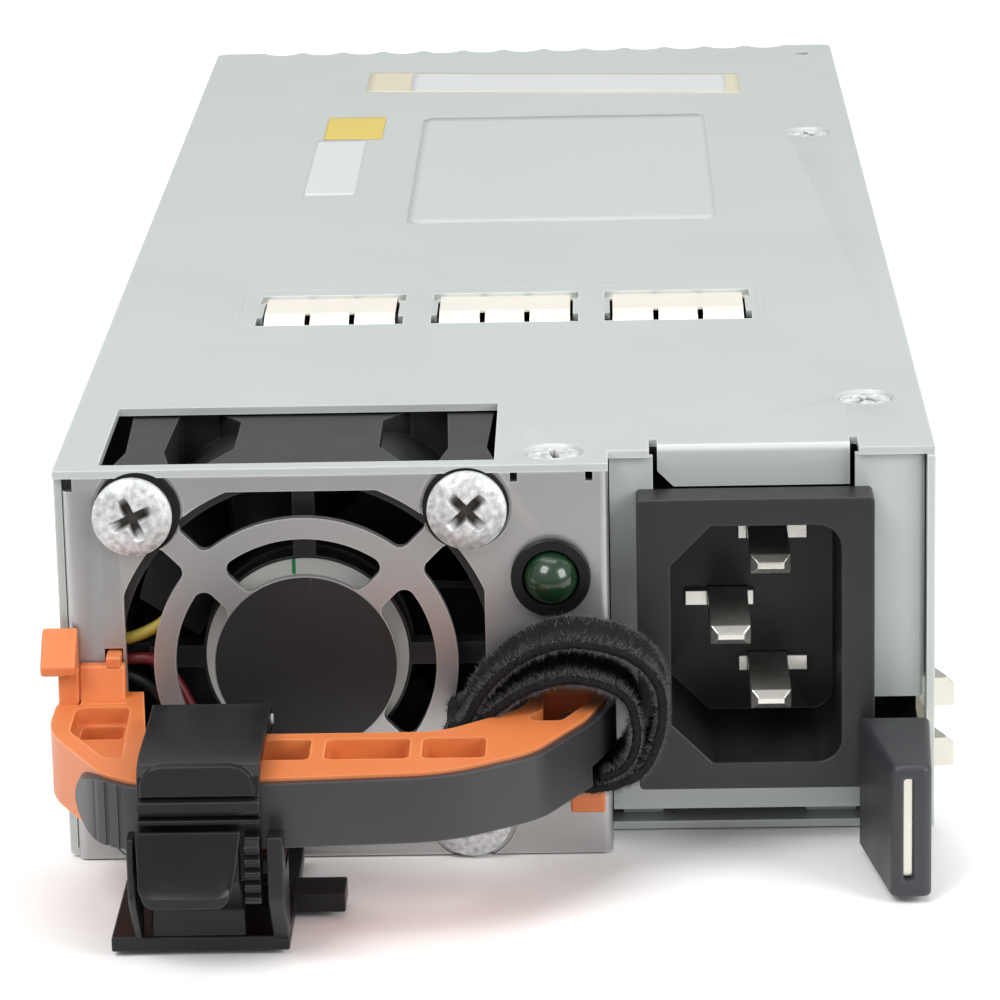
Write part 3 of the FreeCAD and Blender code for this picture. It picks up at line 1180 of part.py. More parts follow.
def main_board():
    """Main circuit board with its card edge tongue, and what holds it."""
    body = new_body("main_board")
    half, reach = s.tongue_width / 2, s.housing_length + s.tongue_reach
    outline = [(BOARD_LEFT, s.board_start), (BOARD_RIGHT, s.board_start), (BOARD_RIGHT, BOARD_BACK),
               (half, BOARD_BACK), (half, reach - 1), (half - 1, reach), (KEY_RIGHT, reach),
               (KEY_RIGHT, BOARD_BACK + 2), (KEY_LEFT, BOARD_BACK + 2), (KEY_LEFT, reach),
               (1 - half, reach), (-half, reach - 1), (-half, BOARD_BACK), (BOARD_LEFT, BOARD_BACK)]
    pad(body, "top", s.board_height, [outline], s.board_thickness)
    for x, y in STANDOFFS:
        cut(body, "top", s.board_height - 1, [(x, y, 1.6)], s.board_thickness + 2)
    round_edges(body, 0.4, lambda m, d, e: close(m.y, reach), "Chamfer")
    finish(body, "main_board")
    posts, screws = [], []
    for x, y in STANDOFFS:
        post = rod("z", x, y, s.sheet, 2.6, s.board_height - s.sheet)
        posts.append(minus(post, rod("z", x, y, s.sheet + 0.2, 1.3, s.board_height)))
        head = rod("z", x, y, BOARD_TOP, 2.6, 1.6)
        shank = rod("z", x, y, s.sheet + 0.5, 1.25, s.board_height + 1)
        screws.append(minus(fuse([head, shank]), box(x - 2, y - 0.35, BOARD_TOP + 0.9, 4, 0.7, 1)))
    finish(group(posts), "board_standoffs")
    finish(group(screws), "board_screws")
    fingers = []
    count = 17
    for column in range(count):
        x = (column - (count - 1) / 2) * s.contact_pitch - s.contact_width / 2
        if column == 12:
            continue
        for z in (BOARD_TOP, s.board_height - 0.08):
            fingers.append(box(x, s.housing_length + 0.8, z, s.contact_width, s.tongue_reach - 2, 0.08))
    finish(group(fingers), "edge_contacts")
    film = box(BOARD_LEFT + 0.5, s.board_start + 3, s.sheet, BOARD_RIGHT - BOARD_LEFT - 1,
               BOARD_BACK - s.board_start - 6, 0.4)
    holes = [rod("z", x, y, 0, 3.2, 4) for x, y in STANDOFFS]
    finish(minus(film, *holes), "insulation_film")


def can(x, y, radius, height):
    """A capacitor can that stands on the board, with a rolled groove near its foot."""
    shape = rod("z", x, y, BOARD_TOP, radius, height)
    ring = minus(rod("z", x, y, BOARD_TOP + 2.2, radius + 1, 0.9),
                 rod("z", x, y, BOARD_TOP + 2, radius - 0.5, 2))
    return minus(shape, ring)


def input_stage():
    """Fuse, filter parts, relay and rectifier."""
    floor = BOARD_TOP
    caps = [rod("y", 13.75, y, floor + 3.4, 2.7, 5) for y in (39.5, 54.5)]
    feet = [box(12.95, y, floor, 1.6, 1.6, 2) for y in (41.2, 56.2)]
    finish(fuse(caps + feet + [rod("y", 13.75, 44, floor + 3.4, 2.5, 11)]), "fuse")
    finish(box(23, 54, floor, 8.5, 18, 16), "x_capacitor")
    ring = minus(rod("x", 21, 85, floor + 12.4, 12, 12), rod("x", 20, 85, floor + 12.4, 6, 14))
    foot = box(18.5, 77, floor, 16.5, 16, 1.6)
    finish(fuse([ring, foot]), "filter_choke")
    finish(box(4, 66, floor, 12.5, 16, 15), "relay")
    block = box(-27, 35.5, floor, 14, 14, 12)
    finish(fuse([block, box(-28.2, 38.5, floor + 3, 16.4, 8, 6)]), "standby_transformer")


def power_stage():
    """Storage capacitor, chokes, transformer, heat sinks and transistors."""
    floor = BOARD_TOP
    r = 14.5
    can_body = rod("y", -24.5, 88, floor + r + 0.8, r, 40)
    groove = minus(rod("y", -24.5, 90.4, floor + r + 0.8, r + 1, 1),
                   rod("y", -24.5, 90, floor + r + 0.8, r - 0.6, 2))
    finish(minus(can_body, groove), "storage_capacitor")
    saddle = box(-37, 94, floor, 25, 28, 6)
    finish(minus(saddle, rod("y", -24.5, 80, floor + r + 0.8, r + 0.05, 60)), "capacitor_saddle")
    ring = minus(rod("z", -24.5, 68.5, floor, 14.5, 14), rod("z", -24.5, 68.5, floor - 1, 6.5, 20))
    finish(ring, "boost_choke")
    sinks, transistors = [], []
    for x, y0, length in ((4.0, 88, 46), (30.5, 146, 40)):
        plate = box(x, y0, floor, 3, length, 29)
        fins = [box(x + 3, y0 + 1 + k * (length - 3.2) / 6, floor + 14, 6, 1.2, 15) for k in range(7)]
        sinks.append(fuse([plate] + fins))
        for place in (4, 17, 30):
            legs = [box(x - 1.6, y0 + place + k, floor, 0.8, 0.8, 4) for k in (1.2, 4.1, 7.0)]
            transistors.append(fuse([box(x - 2.4, y0 + place, floor + 4, 2.4, 9, 14)] + legs))
    finish(group(sinks), "heat_sinks")
    finish(group(transistors), "power_transistors")
    core = [box(-33, 142, floor, 30, 8, 28), box(-33, 166, floor, 30, 8, 28),
            box(-33, 150, floor, 30, 16, 4.5), box(-33, 150, floor + 23.5, 30, 16, 4.5)]
    middle = rod("z", -18, 158, floor + 4.5, 5.6, 19)
    finish(fuse(core + [middle]), "transformer_core")
    coil = minus(rod("z", -18, 158, floor + 5, 7.9, 18), rod("z", -18, 158, floor + 4, 5.65, 20))
    finish(coil, "transformer_winding")


def output_stage():
    """Output capacitors, choke, bus bars and the control board."""
    cans = [can(x, y, 4.9, 22) for x in (-30, -18.5, -7, 4.5, 16) for y in (184.5, 196.5)]
    finish(group(cans), "output_capacitors")
    choke = [box(6, 146, BOARD_TOP, 18, 22, 14), box(5, 151, BOARD_TOP + 4.5, 20, 12, 5)]
    finish(fuse(choke), "output_choke")


def control_board():
    """Upright board along the right side with its controller chips."""
    x, y, z = dim(37.6), dim(62), BOARD_TOP
    finish(box(x, y, z, 1.6, 70, 25), "control_board")
    chips = [box(x - 1.2, y + 14, z + 9, 1.2, 9, 9), box(x - 1.0, y + 34, z + 8, 1.0, 7, 12),
             box(x - 1.0, y + 52, z + 10, 1.0, 5, 6)]
    finish(group(chips), "control_chips")


def mains_leads():
    """Insulated leads from the inlet's tabs to the board, with their receptacles."""
    back = INLET_FRONT + s.inlet_depth + 6
    leads, sleeves = [], []
    for row, (px, pz) in enumerate(INLET_PINS):
        shell = box(px - 2.9, back - 5.2, pz - 1.5, 5.8, 7.2, 3.0)
        slot = box(px - s.pin_width / 2 - 0.05, back - 6, pz - 0.45, s.pin_width + 0.1, 6.05, 0.9)
        sleeves.append(minus(shell, slot))
        end_x = px + (row - 1) * 1.0 - 2
        down_y = back + 9.5 + row * 2.4
        points = [spot(px, back + 2, pz), spot(px, back + 9.5, pz), spot(end_x, down_y, BOARD_TOP + 6),
                  spot(end_x, down_y, BOARD_TOP)]
        leads.append(drawn(tube(points, [0, 4, 4, 0], 1.1)))
    finish(group(leads), "mains_leads")
    finish(group(sleeves), "lead_receptacles")


def light_leads():
    """Two thin leads from the light's card to the board."""
    leads = []
    for side in (-1, 1):
        x = s.light_x + side * 1.4
        points = [spot(x, 7.9, s.light_height - 3.4), spot(x, 31, s.light_height - 3.4),
                  spot(x, 36.5, BOARD_TOP + 12), spot(x, 36.5, BOARD_TOP)]
        leads.append(drawn(tube(points, [0, 8, 5, 0], 0.5)))
    finish(group(leads), "light_leads")


# ---- everything ----

def build_all():
    """Draw every piece."""
    for make in (bottom_tray, top_cover, contact_strip, cover_screws, clinch_nuts, fan_bracket, inlet_bracket,
                 inlet_body):
        make()
    finish(inlet_pin("earth", *INLET_PINS[0], EARTH_LEAD, -0.8), "earth_pin")
    live = [inlet_pin(label, *place, 0, 0.6) for label, place in zip(("line", "neutral"), INLET_PINS[1:])]
    finish(group(live), "power_pins")
    for make in (status_light, fan_frame, fan_rotor, fan_fittings, fan_leads, latch_leaf, latch_cap,
                 latch_fixing, pull_handle, grip_band, hook_and_loop_strap, clamp_base, clamp_strap,
                 clamp_release, main_board, input_stage, power_stage, output_stage, control_board,
                 mains_leads, light_leads):
        make()


def check_and_export():
    """Stop on any broken object, then write one file for each piece."""
    doc.recompute()
    for thing in doc.Objects:
        if "Invalid" in thing.State or "Error" in thing.State:
            raise RuntimeError("%s does not compute" % thing.Label)
    os.makedirs(OUT, exist_ok=True)
    for name in os.listdir(OUT):
        os.remove(os.path.join(OUT, name))
    for piece in pieces:
        shape = piece.Shape
        if shape.isNull() or not shape.isValid():
            raise RuntimeError("%s is not a valid shape" % piece.Label)
        shape.exportStep(os.path.join(OUT, piece.Label + ".step"))
        print("%-28s %8.1f mm3, %d solids" % (piece.Label, shape.Volume, len(shape.Solids)))


build_all()
check_and_export()
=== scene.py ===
# %% [markdown]
# # Hot swap server power supply
# A low zinc plated box with a fan and its guard, a recessed mains inlet, an orange pull handle, a side latch
# with a black thumb cap, a cord strap and a cord clamp. The solids come packed from the CAD model. This
# script gives every surface its finish, and remodels the pieces whose small forms show: rounded mouldings,
# screw heads with their cross recess, the cord clamp and the handle's hook, the fan's leads, the fuzzy strap
# and the blank labels.

# %% Load the frame and keep its box
import json
import math

import bmesh
import bpy
import numpy as np
from mathutils import Matrix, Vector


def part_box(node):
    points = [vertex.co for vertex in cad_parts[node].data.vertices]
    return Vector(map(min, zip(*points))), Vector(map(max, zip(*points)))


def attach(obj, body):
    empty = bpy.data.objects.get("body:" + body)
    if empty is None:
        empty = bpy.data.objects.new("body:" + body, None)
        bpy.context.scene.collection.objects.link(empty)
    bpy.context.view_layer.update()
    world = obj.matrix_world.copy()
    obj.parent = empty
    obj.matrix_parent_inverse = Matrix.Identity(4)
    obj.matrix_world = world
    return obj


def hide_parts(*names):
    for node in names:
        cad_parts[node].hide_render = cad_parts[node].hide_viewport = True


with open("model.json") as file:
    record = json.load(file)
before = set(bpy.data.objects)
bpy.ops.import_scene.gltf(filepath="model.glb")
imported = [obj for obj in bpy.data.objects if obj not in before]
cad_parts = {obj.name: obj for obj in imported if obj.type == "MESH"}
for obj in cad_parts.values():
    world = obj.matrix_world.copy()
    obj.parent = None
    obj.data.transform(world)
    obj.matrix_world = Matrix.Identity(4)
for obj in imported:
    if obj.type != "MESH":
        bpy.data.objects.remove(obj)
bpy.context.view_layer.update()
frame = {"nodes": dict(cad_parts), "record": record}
nodes = frame["nodes"]
SLOT_OF = {part["node"]: part["material_slot"] for part in frame["record"]["subparts"]}
BODY_OF = {node: body for body, names in frame["record"]["behaviour"]["bodies"].items() for node in names}
MM = 0.001
print("nodes:", len(nodes))

# %% [markdown]
# ## Shared effects
# Real finishes are never one flat colour. Sheet steel is mottled, mouldings have a fine spark-eroded grain,
# and handled corners are polished or scuffed. Each effect is a node group that is built once and used by
# many materials with their own values.


# %% Helpers for colours and node groups
def paint(red, green, blue):
    """A colour as seen on a screen, 0 to 255, turned into the linear values that shaders use."""
    screen = np.array([red, green, blue]) / 255.0
    linear = np.where(screen <= 0.04045, screen / 12.92, ((screen + 0.055) / 1.055) ** 2.4)
    return (*linear.tolist(), 1.0)


def new_group(name, inputs, outputs):
    """Start a shader node group with named sockets."""
    tree = bpy.data.node_groups.new(name, "ShaderNodeTree")
    for label, kind, value in inputs:
        socket = tree.interface.new_socket(label, in_out="INPUT", socket_type="NodeSocket" + kind)
        socket.default_value = value
    for label, kind in outputs:
        tree.interface.new_socket(label, in_out="OUTPUT", socket_type="NodeSocket" + kind)
    return tree, tree.nodes.new("NodeGroupInput"), tree.nodes.new("NodeGroupOutput")


def add(tree, kind, **settings):
    """Add a node and set its properties."""
    node = tree.nodes.new("ShaderNode" + kind)
    for name, value in settings.items():
        setattr(node, name, value)
    return node


def set_inputs(node, values):
    """Set the values of a node's sockets, named as the node names them."""
    for socket, value in values.items():
        node.inputs[socket].default_value = value


def math_node(tree, operation, first, second=0.5, clamp=False):
    """A math node whose inputs are sockets or numbers; gives its output socket."""
    node = add(tree, "Math", operation=operation, use_clamp=clamp)
    for place, source in enumerate((first, second)):
        if isinstance(source, bpy.types.NodeSocket):
            tree.links.new(source, node.inputs[place])
        else:
            node.inputs[place].default_value = source
    return node.outputs[0]


def blend(tree, factor, base, colour):
    """Mix a colour over a colour socket by a factor socket; gives the output socket."""
    mix = add(tree, "Mix", data_type="RGBA")
    mix.inputs["B"].default_value = colour
    tree.links.new(base, mix.inputs["A"])
    tree.links.new(factor, mix.inputs["Factor"])
    return mix.outputs["Result"]


def coordinate(tree, axis):
    """One object coordinate, in metres."""
    place = add(tree, "TexCoord")
    split = add(tree, "SeparateXYZ")
    tree.links.new(place.outputs["Object"], split.inputs["Vector"])
    return split.outputs[axis]


def add_bump(tree, height, strength, depth, **settings):
    """Bump from a height socket, linked to the material's shader; gives its node."""
    relief = add(tree, "Bump", **settings)
    set_inputs(relief, {"Strength": strength, "Distance": depth})
    tree.links.new(height, relief.inputs["Height"])
    tree.links.new(relief.outputs["Normal"], tree.nodes["Principled BSDF"].inputs["Normal"])
    return relief


def stretched_noise(tree, stretch, scale, detail=3.0):
    """Noise on object coordinates, stretched along the axes."""
    place = add(tree, "TexCoord")
    mapping = add(tree, "Mapping")
    mapping.inputs["Scale"].default_value = stretch
    tree.links.new(place.outputs["Object"], mapping.inputs["Vector"])
    noise = add(tree, "TexNoise")
    noise.inputs["Detail"].default_value = detail
    tree.links.new(mapping.outputs["Vector"], noise.inputs["Vector"])
    if isinstance(scale, bpy.types.NodeSocket):
        tree.links.new(scale, noise.inputs["Scale"])
    else:
        noise.inputs["Scale"].default_value = scale
    return noise.outputs["Fac"]


# %% Mottled colour: a slow noise makes the colour a little lighter and darker
def make_mottle():
    """Value = 1 + Spread * (noise - 0.5) * 2, applied to the colour."""
    sockets = [("Color", "Color", (0.5, 0.5, 0.5, 1)), ("Spread", "Float", 0.1), ("Size", "Float", 60.0)]
    tree, source, result = new_group("mottle", sockets, [("Color", "Color")])
    noise = stretched_noise(tree, (1, 1, 1), source.outputs["Size"])
    change = math_node(tree, "MULTIPLY", math_node(tree, "SUBTRACT", noise, 0.5), source.outputs["Spread"])
    value = math_node(tree, "ADD", math_node(tree, "MULTIPLY", change, 2.0), 1.0)
    hue = add(tree, "HueSaturation")
    tree.links.new(source.outputs["Color"], hue.inputs["Color"])
    tree.links.new(value, hue.inputs["Value"])
    tree.links.new(hue.outputs["Color"], result.inputs["Color"])
    return tree


# %% Edge mask: where a rounded normal differs from the true one, an edge is near
EDGE_GAIN = 6.0


def make_edge_mask():
    """Mask = (1 - dot(true normal, softened normal)) * EDGE_GAIN * noise, held between 0 and 1."""
    sockets = [("Radius", "Float", 0.0006), ("Break Up", "Float", 400.0)]
    tree, source, result = new_group("edge_mask", sockets, [("Mask", "Float")])
    soft = add(tree, "Bevel", samples=4)
    tree.links.new(source.outputs["Radius"], soft.inputs["Radius"])
    true = add(tree, "NewGeometry")
    dot = add(tree, "VectorMath", operation="DOT_PRODUCT")
    tree.links.new(soft.outputs["Normal"], dot.inputs[0])
    tree.links.new(true.outputs["Normal"], dot.inputs[1])
    away = math_node(tree, "SUBTRACT", 1.0, dot.outputs["Value"])
    noise = stretched_noise(tree, (1, 1, 1), source.outputs["Break Up"])
    mask = math_node(tree, "MULTIPLY", math_node(tree, "MULTIPLY", away, EDGE_GAIN), noise, clamp=True)
    tree.links.new(mask, result.inputs["Mask"])
    return tree


# %% Grain: a height map of fine noise, stretched for rolled or brushed metal
def make_grain(name, stretch):
    """Height = noise at Size, on coordinates stretched along the rolling direction."""
    tree, source, result = new_group(name, [("Size", "Float", 3000.0)], [("Height", "Float")])
    noise = stretched_noise(tree, stretch, source.outputs["Size"], 2.0)
    tree.links.new(noise, result.inputs["Height"])
    return tree


MOTTLE = make_mottle()
EDGE_MASK = make_edge_mask()
GRAIN = make_grain("grain", (1, 1, 1))
ROLLED = make_grain("rolled_grain", (1.0, 0.06, 1.0))
print("groups:", [tree.name for tree in bpy.data.node_groups])


# %% [markdown]
# ## Finishes
# One function lays out a material: a mottled base colour, an edge colour where the mask says so, a
# roughness that follows the mottling, and a bump from the grain. Values that are the same all over the
# surface, such as metallic, stay on the shader's own sockets.


# %% Material builder
ROUGH_SIZE = 1.7


def use_group(tree, group, **values):
    """Place a group in a material with its own values."""
    node = add(tree, "Group", node_tree=group)
    set_inputs(node, values)
    return node


def finish(name, colour, rough, metallic=0.0, mottle=(0.06, 60), edge=None, grain=(GRAIN, 3000, 0.12),
           depth=0.02, rough_spread=0.08, specular=0.5):
    """A procedural material for one finish.

    Colours are given as seen on a screen. mottle holds the spread and size of the mottling, edge the colour
    and radius of worn edges, grain its group, size and strength. Radius and depth are in millimetres.
    """
    material = bpy.data.materials.new(name)
    material.use_nodes = True
    tree = material.node_tree
    shader = tree.nodes["Principled BSDF"]
    set_inputs(shader, {"Metallic": metallic, "Specular IOR Level": specular})
    spread, size = mottle
    base = use_group(tree, MOTTLE, Color=paint(*colour), Spread=spread, Size=size).outputs["Color"]
    if edge:
        edge_colour, radius = edge
        mask = use_group(tree, EDGE_MASK, Radius=radius * MM)
        base = blend(tree, mask.outputs["Mask"], base, paint(*edge_colour))
    tree.links.new(base, shader.inputs["Base Color"])
    slow = stretched_noise(tree, (1, 1, 1), size * ROUGH_SIZE)
    low = math_node(tree, "MULTIPLY", slow, rough_spread * 2)
    tree.links.new(math_node(tree, "ADD", low, rough - rough_spread), shader.inputs["Roughness"])
    group, grain_size, strength = grain
    height = use_group(tree, group, Size=grain_size).outputs["Height"]
    add_bump(tree, height, strength, depth * MM)
    return material


# %% The finishes of this module
FINISH = {
    "galvanised_steel": finish(
        "zinc_plated_sheet", (188, 194, 191), 0.46, 0.35, mottle=(0.035, 35), edge=((232, 235, 233), 0.3),
        grain=(ROLLED, 1800, 0.25)),
    "bracket_steel": finish(
        "zinc_plated_bracket", (180, 180, 180), 0.36, 0.8, mottle=(0.04, 50), edge=((222, 222, 222), 0.3),
        grain=(ROLLED, 2200, 0.25)),
    "spring_steel": finish(
        "spring_steel", (215, 212, 200), 0.25, 0.95, mottle=(0.05, 80), grain=(ROLLED, 2500, 0.3)),
    "screw_steel": finish(
        "zinc_plated_screw", (200, 202, 203), 0.5, 0.3, mottle=(0.8, 1500), edge=((228, 228, 228), 0.2),
        grain=(GRAIN, 2600, 0.6), depth=0.05),
    "copper_foil": finish(
        "beryllium_copper", (252, 246, 234), 0.34, 0.55, mottle=(0.03, 120), grain=(ROLLED, 2500, 0.2)),
    "gold_contacts": finish("gold_plating", (222, 184, 92), 0.22, 1.0, mottle=(0.04, 200)),
    "tin_pins": finish(
        "nickel_plating", (222, 220, 212), 0.25, 0.85, mottle=(0.06, 200), edge=((245, 243, 235), 0.3)),
    "aluminium_parts": finish(
        "extruded_aluminium", (200, 202, 206), 0.35, 0.9, mottle=(0.04, 80), grain=(ROLLED, 2500, 0.3)),
    "orange_plastic": finish(
        "orange_moulding", (206, 115, 62), 0.42, mottle=(0.04, 90), edge=((228, 152, 104), 0.5),
        grain=(GRAIN, 4500, 0.18)),
    "black_plastic": finish(
        "black_moulding", (30, 30, 32), 0.42, mottle=(0.12, 120), edge=((62, 62, 65), 0.4),
        grain=(GRAIN, 5000, 0.2)),
    "latch_plastic": finish(
        "latch_moulding", (44, 45, 49), 0.45, mottle=(0.12, 120), edge=((84, 85, 90), 0.5),
        grain=(GRAIN, 5000, 0.25)),
    "soft_band": finish(
        "soft_grip_band", (44, 44, 46), 0.36, mottle=(0.10, 90), edge=((80, 81, 84), 0.3),
        grain=(GRAIN, 3500, 0.25)),
    "woven_strap": finish(
        "loop_pile", (22, 22, 24), 0.9, mottle=(0.35, 900), grain=(GRAIN, 2500, 0.8), depth=0.2,
        rough_spread=0.05, specular=0.2),
    "circuit_board": finish("solder_mask", (28, 92, 58), 0.35, mottle=(0.08, 90), grain=(GRAIN, 1500, 0.1)),
    "component_black": finish(
        "black_component", (36, 36, 39), 0.45, mottle=(0.12, 150), edge=((66, 66, 70), 0.3),
        grain=(GRAIN, 4500, 0.2)),
    "capacitor_sleeve": finish(
        "shrink_sleeve", (34, 38, 58), 0.32, mottle=(0.08, 120), grain=(GRAIN, 1500, 0.1)),
    "ferrite": finish(
        "ferrite", (72, 72, 76), 0.6, mottle=(0.10, 200), edge=((100, 100, 104), 0.3),
        grain=(GRAIN, 3500, 0.4)),
    "winding": finish(
        "enamelled_copper", (188, 108, 52), 0.3, 0.5, mottle=(0.10, 200), grain=(ROLLED, 900, 0.8),
        depth=0.3),
    "tape_yellow": finish("polyester_tape", (224, 186, 62), 0.3, mottle=(0.06, 90), grain=(GRAIN, 900, 0.2)),
    "clear_film": finish("natural_plastic", (214, 210, 198), 0.35, mottle=(0.05, 120)),
    "paper_label": finish("label_stock", (205, 206, 204), 0.5, mottle=(0.04, 90), grain=(GRAIN, 1200, 0.1)),
    "lead_sleeve": finish("mains_lead_sleeve", (96, 52, 40), 0.4, mottle=(0.08, 150)),
    "fan_lead_sleeve": finish("red_lead_sleeve", (104, 26, 34), 0.4, mottle=(0.10, 150)),
    "clamp_plastic": finish(
        "clamp_moulding", (14, 14, 16), 0.38, mottle=(0.14, 150), edge=((60, 60, 64), 0.3),
        grain=(GRAIN, 4500, 0.2), specular=0.36),
    "black_lead": finish("black_lead_sleeve", (26, 26, 28), 0.4, mottle=(0.10, 150)),
    "yellow_lead": finish("yellow_lead_sleeve", (176, 156, 62), 0.5, mottle=(0.12, 150)),
    # The bristles are a lighter grey than the strap's pile: painted highlight, where the pile catches the
    # light.
    "pile_hair_painted_highlight": finish("pile_hair_painted_highlight", (84, 84, 88), 0.7, mottle=(0.35, 700), grain=(GRAIN, 2500, 0.1)),
    "rating_paper": finish(
        "rating_paper", (176, 179, 179), 0.55, mottle=(0.02, 60), grain=(GRAIN, 1500, 0.08)),
    "white_paper": finish(
        "white_paper", (190, 192, 193), 0.55, mottle=(0.02, 90), grain=(GRAIN, 1500, 0.08)),
    "yellow_paper": finish(
        "yellow_paper", (196, 174, 84), 0.5, mottle=(0.05, 120), grain=(GRAIN, 1500, 0.1)),
    "clear_tape": finish("clear_tape", (196, 190, 164), 0.35, mottle=(0.04, 90), grain=(GRAIN, 900, 0.1)),
    "guard_disc": finish("guard_disc", (30, 28, 30), 0.42, mottle=(0.10, 160), grain=(GRAIN, 3500, 0.15)),
    "bezel_black": finish(
        "bezel_black", (11, 11, 11), 0.35, mottle=(0.10, 160), grain=(GRAIN, 5000, 0.1), specular=0.35),
    "hub_label": finish(
        "hub_label", (196, 198, 194), 0.45, 0.1, mottle=(0.05, 120), grain=(GRAIN, 1500, 0.1)),
}

# %% [markdown]
# Some finishes carry marks of their own: a line pressed into the cover round the contact windows, a tick on
# the fan's hub label, scratches on the guard's disc and painted shade in the screws' recesses. Each mark is
# a mask over the finish, worked out from the coordinates, from noise or from a value on the points.


# %% Marks over a finish
BAND_EDGE = 1 / (0.05 * MM)


def mask_mix(material, mask, colour):
    """Put a colour over a finish wherever a mask socket is high."""
    tree = material.node_tree
    shader = tree.nodes["Principled BSDF"]
    clean = shader.inputs["Base Color"].links[0].from_socket
    tree.links.new(blend(tree, mask, clean, colour), shader.inputs["Base Color"])


def narrow_band(tree, axis, middle, half):
    """One where a coordinate lies within half of middle: BAND_EDGE * (half - |coordinate - middle|)."""
    away = math_node(tree, "ABSOLUTE", math_node(tree, "SUBTRACT", coordinate(tree, axis), middle))
    return math_node(tree, "MULTIPLY", math_node(tree, "SUBTRACT", half, away), BAND_EDGE, clamp=True)


def pressed_line(material, left, right, front, back, half, strength, depth):
    """A shallow groove along a rectangle in X and Y, as a second bump over the grain."""
    tree = material.node_tree
    shader = tree.nodes["Principled BSDF"]
    middle = ((left + right) / 2, (front + back) / 2)
    reach = ((right - left) / 2, (back - front) / 2)
    along = [narrow_band(tree, axis, middle[place], reach[place]) for place, axis in enumerate("XY")]
    lines = []
    for place, axis in enumerate("XY"):
        for edge in (middle[place] - reach[place], middle[place] + reach[place]):
            band = narrow_band(tree, axis, edge, half)
            lines.append(math_node(tree, "MULTIPLY", band, along[1 - place]))
    groove = math_node(tree, "MAXIMUM", math_node(tree, "MAXIMUM", *lines[:2]),
                       math_node(tree, "MAXIMUM", *lines[2:]))
    below = shader.inputs["Normal"].links[0].from_socket
    relief = add_bump(tree, groove, strength, depth, invert=True)
    tree.links.new(below, relief.inputs["Normal"])


FINISH["cover_steel"] = FINISH["galvanised_steel"].copy()
pressed_line(FINISH["cover_steel"], left=-0.0294, right=0.028, front=-0.0515, back=-0.0352, half=0.0004,
             strength=0.5, depth=0.0001)

TICK_X, TICK_Z = (-0.01995, 0.00022), (0.0296, 0.0012)
hub_tree = FINISH["hub_label"].node_tree
tick = [narrow_band(hub_tree, axis, *reach) for axis, reach in (("X", TICK_X), ("Z", TICK_Z))]
mask_mix(FINISH["hub_label"], math_node(hub_tree, "MULTIPLY", *tick), paint(38, 130, 76))

SCRATCH_RUNS, SCRATCH_SIZE = ((1.0, 1.0, 0.05), (0.06, 1.0, 0.7)), 900
SCRATCH_FLOOR, SCRATCH_GAIN = 0.69, 9.0
disc_tree = FINISH["guard_disc"].node_tree
streaks = [stretched_noise(disc_tree, run, SCRATCH_SIZE, 4.0) for run in SCRATCH_RUNS]
scratches = [math_node(disc_tree, "MULTIPLY", math_node(disc_tree, "SUBTRACT", streak, SCRATCH_FLOOR),
                       SCRATCH_GAIN, clamp=True) for streak in streaks]
mask_mix(FINISH["guard_disc"], math_node(disc_tree, "MAXIMUM", *scratches), paint(88, 86, 86))

# Painted shade: the screws' cross recesses are darkened by how deep each point lies in them.
recess_shade = add(FINISH["screw_steel"].node_tree, "Attribute", attribute_name="sunk")
mask_mix(FINISH["screw_steel"], recess_shade.outputs["Fac"], paint(66, 62, 56))
print("finishes:", len(FINISH))


# %% [markdown]
# The status light's lens is clear green plastic over a dark recess. It is real glass to the renderer,
# tinted by its base colour, so that it darkens towards the middle and takes a bright highlight at its rim.

# %% Green lens
FINISH["green_lens"] = finish("green_lens", (44, 96, 54), 0.24, mottle=(0.03, 200), grain=(GRAIN, 800, 0.02))
set_inputs(FINISH["green_lens"].node_tree.nodes["Principled BSDF"],
           {"Transmission Weight": 0.75, "IOR": 1.5, "Coat Weight": 0.6})

# %% Give every CAD node its finish
OWN_FINISH = {
    "top_cover": "cover_steel", "inlet_bracket": "galvanised_steel", "fan_lead_black": "black_lead",
    "fan_lead_yellow": "yellow_lead", "fan_lead_red": "fan_lead_sleeve", "guard_sticker": "guard_disc",
    "fan_label": "hub_label", "light_bezel": "bezel_black"}


def dress(thing, name):
    """Put one finish on all of a piece's material slots."""
    materials = thing.data.materials
    if not materials:
        materials.append(None)
    for place in range(len(materials)):
        materials[place] = FINISH[name]
    for place in thing.material_slots:
        place.material = FINISH[name]


for node, thing in nodes.items():
    dress(thing, OWN_FINISH.get(node, SLOT_OF[node]))

# %% [markdown]
# ## Rounded mouldings and sheet edges
# A plastic moulding never has a knife edge: its mould is cut with a ball end, so every corner catches a
# line of light. Folded sheet has a small rolled edge from the punch. A merged copy of the CAD solid with a
# bevel gives both, because the bevel only touches edges that turn by more than a set angle.


# %% Helpers for pieces
EDGE_ANGLE, FLAT_ANGLE, MERGE_CAD, MERGE_GRID = 28.0, 0.6, 2e-6, 1e-7


def new_mesh(name, points, faces):
    """A mesh from points in millimetres."""
    mesh = bpy.data.meshes.new(name)
    mesh.from_pydata((points.reshape(-1, 3) * MM).tolist(), [], faces)
    return mesh


def show(name, data):
    """Put a mesh, lamp or camera into the scene."""
    thing = bpy.data.objects.new(name, data)
    bpy.context.scene.collection.objects.link(thing)
    return thing


def face_outward(mesh, merge=None):
    """Turn all faces outward, after merging points that lie within a distance in metres."""
    work = bmesh.new()
    work.from_mesh(mesh)
    if merge:
        bmesh.ops.remove_doubles(work, verts=work.verts, dist=merge)
    bmesh.ops.recalc_face_normals(work, faces=work.faces)
    work.to_mesh(mesh)
    work.free()


def smooth(mesh, angle):
    """Smooth shading, but sharp where faces turn by more than an angle in degrees."""
    mesh.shade_smooth()
    mesh.set_sharp_from_angle(angle=math.radians(angle))


